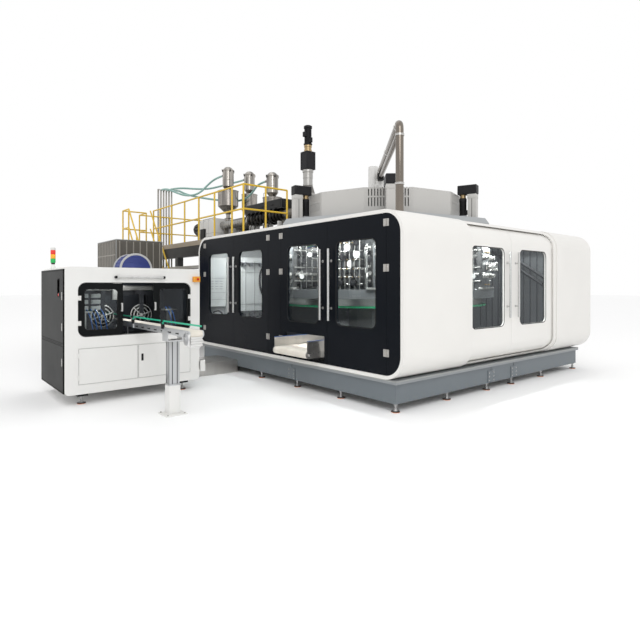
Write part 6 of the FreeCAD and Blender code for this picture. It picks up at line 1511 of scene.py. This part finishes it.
def flank_packs():
    """On both flanks of each station: cylinders, tubes, fittings, gauges and hoses."""
    tubes, collars, dark, pale = [], [], [], []
    for side in (-1, 1):
        for z, radius, start, end in ((2260, 16, 1150, 2080), (2120, 26, 1180, 1760),
                                      (1960, 12, 1150, 2080), (1840, 30, 1420, 2060),
                                      (1720, 14, 1150, 2080)):
            long = end - start
            rings = [(0, radius - 2), (2, radius), (long - 2, radius), (long, radius - 2)]
            tubes.append(turned_out(rings, (start, side * 350, z), "x", 20))
        for x, z in ((1240, 2260), (1620, 2260), (1980, 2260), (1300, 1960), (1720, 1960),
                     (1240, 1720), (1560, 1720), (1900, 1720)):
            collars.append(turned_out([(0, 18), (3, 25), (24, 25), (27, 18)],
                                      (x, side * 350, z), "x", 6))
        for x, z, wide, high in ((1170, 1640, 120, 60), (1350, 2040, 90, 130),
                                 (1600, 2160, 160, 70), (1880, 2030, 120, 90),
                                 (1500, 1620, 200, 56), (1860, 1600, 120, 80)):
            dark.append(block((x, side * 350 - 34, z), (x + wide, side * 350 + 34, z + high), 6,
                              [("y" if side > 0 else "-y", 10, 3)]))
        for x, z in ((1330, 2200), (1560, 1900), (1800, 2190), (1960, 1800)):
            rings = [(0, 34), (3, 46), (16, 46), (20, 42), (20, 30), (14, 28)]
            pale.append(turned_out(rings, (x, side * 380, z), "y" if side > 0 else "-y", 28))
        for x in range(1200, 2080, 110):
            collars.append(turned_out([(1575, 7), (2330, 7)], (x, side * 384, 0), "z", 10))
    fit_around("flank_tubes", together(tubes), "satin_steel")
    fit_around("flank_collars", together(collars), "bright")
    fit_around("flank_valves", together(dark), "motor")
    fit_around("flank_gauges", together(pale), "enamel")


def line_through(points, radius):
    """A thin fixed line through points in millimetres, as a mesh tube."""
    curve = bpy.data.curves.new("line", "CURVE")
    curve.dimensions, curve.bevel_depth = "3D", radius / 1000
    curve.bevel_resolution, curve.use_fill_caps = 2, True
    spline = curve.splines.new("NURBS")
    spline.points.add(len(points) - 1)
    for knot, point in zip(spline.points, points):
        knot.co = (*at(*point), 1.0)
    spline.order_u, spline.use_endpoint_u, spline.resolution_u = 3, True, 6
    tube = bpy.data.objects.new("line", curve)
    bpy.context.collection.objects.link(tube)
    bpy.ops.object.select_all(action="DESELECT")
    tube.select_set(True)
    bpy.context.view_layer.objects.active = tube
    bpy.ops.object.convert(target="MESH")
    return bpy.context.object


def dress_inside():
    """Cabinets, rails and cable loops on the left wall, and braces on the rear wall."""
    cabinet = block((-5636, 620, 760), (-5330, 1720, 2260), 10, [("-y", 40, -6), ("x", 40, -5)])
    fit("inner_valve_cabinet", here(cabinet), "pale_grey")
    flat = block((-5636, 150, 1180), (-5560, 606, 2240), 8, [("x", 14, -3)])
    fit("wall_terminal_box", here(flat), "pale_grey")
    seams = [block((-5561, 168, z), (-5556, 590, z + 8), 1.5, [("x", 2, 0.5)])
             for z in (1330, 1480, 1790)]
    seams += [block((-5561, y, 1560 + 54 * i), (-5555, y + 70, 1574 + 54 * i), 1.5,
                    [("x", 2, 0.5)]) for i in range(4) for y in (230, 340, 450)]
    seams += [block((-5334, y, 900), (-5324, y + 10, 2180), 2, [("x", 2, 0.5)])
              for y in (960, 1190)]
    seams += [block((-5334, 700, z), (-5322, 1700, z + 10), 2, [("x", 2, 0.5)])
              for z in (1220, 1930)]
    fit("wall_cabinet_seams", here(*seams), "outline_grey")
    loops = [line_through([(-5560, 300, 1060), (-5440, 340, 1120), (-5380, 420, 1040),
                           (-5420, 470, 900), (-5560, 380, 820)], 18),
             line_through([(-5334, 1420, 1990), (-5240, 1340, 2040), (-5200, 1250, 1900),
                           (-5200, 1240, 1640), (-5240, 1330, 1480), (-5334, 1420, 1400)], 24),
             line_through([(-5334, 1430, 1860), (-5220, 1390, 1900), (-5190, 1320, 1760),
                           (-5220, 1360, 1600), (-5334, 1430, 1500)], 18)]
    fit("wall_cable_loops", together(loops), "line_black")
    rails = [block((-5330, 760, z), (-5230, 1500, z + 22), 4, [("x", 6, -3)])
             for z in (940, 1060, 2120)]
    rails += [block((-5334, y, z), (-5200, y + 26, z + 70), 4, [("x", 6, 2)])
              for y in (860, 1040, 1300) for z in (960, 2060)]
    rails += [block((-5600, 200, 1000), (-5500, 600, 1024), 4, [("x", 6, -3)])]
    fit("wall_rails", here(*rails), "machine_paint")
    braces = [line_through([(-2100 + dx, 5570, 2420), (-500 + dx, 5570, 1380)], 34)
              for dx in (0, 260)]
    braces += [line_through([(x, 5575, 700), (x, 5575, 2560)], 12)
               for x in range(-2400, -300, 150)]
    fit("rear_wall_braces", together(braces), "motor")


# ---- finishes of the fittings ----------------------------------------------------------
FINISH.update({
    "black": lacquer("fitting black", (0.016, 0.016, 0.017), 0.42),
    "motor": lacquer("motor black", (0.020, 0.020, 0.022), 0.38, peel=0.001),
    "bright": brushed("bright steel", (0.66, 0.65, 0.63), (1, 1, 6), 0.2, 60),
    "bar": brushed("bar handle steel", (0.72, 0.72, 0.71), (1, 1, 30), 0.26, 30),
    "hinge": brushed("hinge steel", (0.52, 0.50, 0.47), (1, 1, 4), 0.36, 60),
    "rubber": lacquer("gasket rubber", (0.012, 0.012, 0.012), 0.62),
    "brass": lacquer("brass", (0.42, 0.31, 0.17), 0.3, metallic=0.9),
    # black; on the sheet behind the tower's louvres it is painted shade
    "sheet_lining": lacquer("cover lining", (0.012, 0.012, 0.013), 0.6),
    "enamel": lacquer("white enamel", (0.72, 0.715, 0.70), 0.3),
    "dark_steel": brushed("heat guard steel", (0.050, 0.047, 0.043), (1, 1, 10), 0.3, 40, 0.4),
    "satin_steel": brushed("satin steel", (0.50, 0.49, 0.47), (1, 1, 14), 0.34, 40),
    # the loaders' brownish tone and deep dark streaks are painted reflection
    "bright_steel": brushed("polished sheet with painted reflection", (0.50, 0.47, 0.43), (1, 1, 16), 0.17, 24, 0.4),
    # the pipe's dark brown tone and its dark streaks are painted reflection
    "pipe": brushed("polished pipe with painted reflection", (0.24, 0.21, 0.18), (1, 1, 10), 0.15, 26, 0.6),
    "extruder_grey": lacquer("extruder cover grey", (0.011, 0.0115, 0.012), 0.36, gloss=0.2),
    "base_lip": lacquer("base lip", (0.34, 0.35, 0.34), 0.42),
    "lift_blue": lacquer("lift belt blue", (0.035, 0.055, 0.24), 0.5),
    "hood_grey": lacquer("hood grey", (0.14, 0.128, 0.108), 0.45, shade=0.55),
    "extruder_rib": lacquer("hood rib grey", (0.30, 0.28, 0.245), 0.42),
    "pale_grey": lacquer("pale cabinet grey", (0.56, 0.565, 0.56), 0.42),
    "motor_blue": lacquer("motor blue", (0.03, 0.13, 0.40), 0.34),
    "outline_grey": lacquer("door outline grey", (0.30, 0.30, 0.295), 0.5),
    "stop_box": lacquer("stop box orange", (0.80, 0.33, 0.03), 0.34),
    "guide_green": lacquer("guide green", (0.02, 0.42, 0.24), 0.36),
    "alu": brushed("anodised aluminium", (0.62, 0.63, 0.64), (1, 1, 20), 0.3, 40),
    "trim_blue": lacquer("guard trim blue", (0.05, 0.12, 0.32), 0.36),
    "machine_paint": lacquer("machine grey paint", (0.10, 0.105, 0.11), 0.36),
    "line_blue": lacquer("air line blue", (0.03, 0.16, 0.55), 0.3),
    "line_green": lacquer("air line green", (0.05, 0.42, 0.20), 0.3),
    "line_black": lacquer("air line black", (0.015, 0.015, 0.015), 0.34),
})


for dress in (set_feet, dress_base, hang_door_fittings, dress_drives, dress_tower,
              dress_pipes, dress_servo, dress_hoppers, dress_extruders, dress_granulator,
              dress_trimmer, dress_conveyors, dress_carousel, dress_inside):
    dress()


# ---- camera, floor and light -----------------------------------------------------------
def photograph():
    camera = bpy.data.objects.new("Camera", bpy.data.cameras.new("Camera"))
    camera.location = (9.776, -5.997, 1.65)
    camera.rotation_euler = (math.radians(90), 0, math.radians(50.06))
    camera.data.sensor_width = 36
    camera.data.lens = 27.675
    camera.data.shift_y = -0.05
    camera.data.clip_end = 200
    bpy.context.collection.objects.link(camera)
    bpy.context.scene.camera = camera


def lamp(name, place, aim, size, watts):
    light = bpy.data.lights.new(name, "AREA")
    light.shape = "RECTANGLE"
    light.size, light.size_y = size
    light.energy = watts
    obj = bpy.data.objects.new(name, light)
    obj.location = place
    obj.rotation_euler = (Vector(aim) - Vector(place)).to_track_quat("-Z", "Y").to_euler()
    bpy.context.collection.objects.link(obj)


def studio():
    world = bpy.data.worlds.new("studio")
    bpy.context.scene.world = world
    world.use_nodes = True
    ground = world.node_tree.nodes["Background"]
    ground.inputs["Color"].default_value = (1, 1, 1, 1)
    ground.inputs["Strength"].default_value = 1.0
    lamp("key", (13, -7, 10), (2, 1, 1.2), (7, 7), 420)
    lamp("roof fill", (-2, 0, 13), (-2, 0, 2), (12, 8), 120)
    for x in (-4500, -2830, -1150):
        lamp("front bay lamp", at(x, 320, 2520), at(x, 1200, 1300), (1.3, 0.2), 38)
        lamp("rear bay lamp", at(x, 5400, 2520), at(x, 4200, 1300), (1.3, 0.2), 38)
    for y in (1700, 3500):
        lamp("side bay lamp", at(-700, y, 2520), at(-1500, y, 1300), (1.3, 0.2), 34)
    lamp("trimmer lamp", at(-3900, -2150, 1780), at(-4050, -2150, 1000), (0.3, 1.3), 9)
    bpy.ops.mesh.primitive_plane_add(size=160, location=(0, 0, 0))
    floor = bpy.context.object
    floor.name = "studio_floor"
    pale = Paint("studio floor")
    pale.set(base_color=(0.95, 0.95, 0.95), roughness=0.95)
    floor.data.materials.append(pale.material)


photograph()
hang_hoses()
studio()
bpy.context.scene.view_settings.view_transform = "Standard"
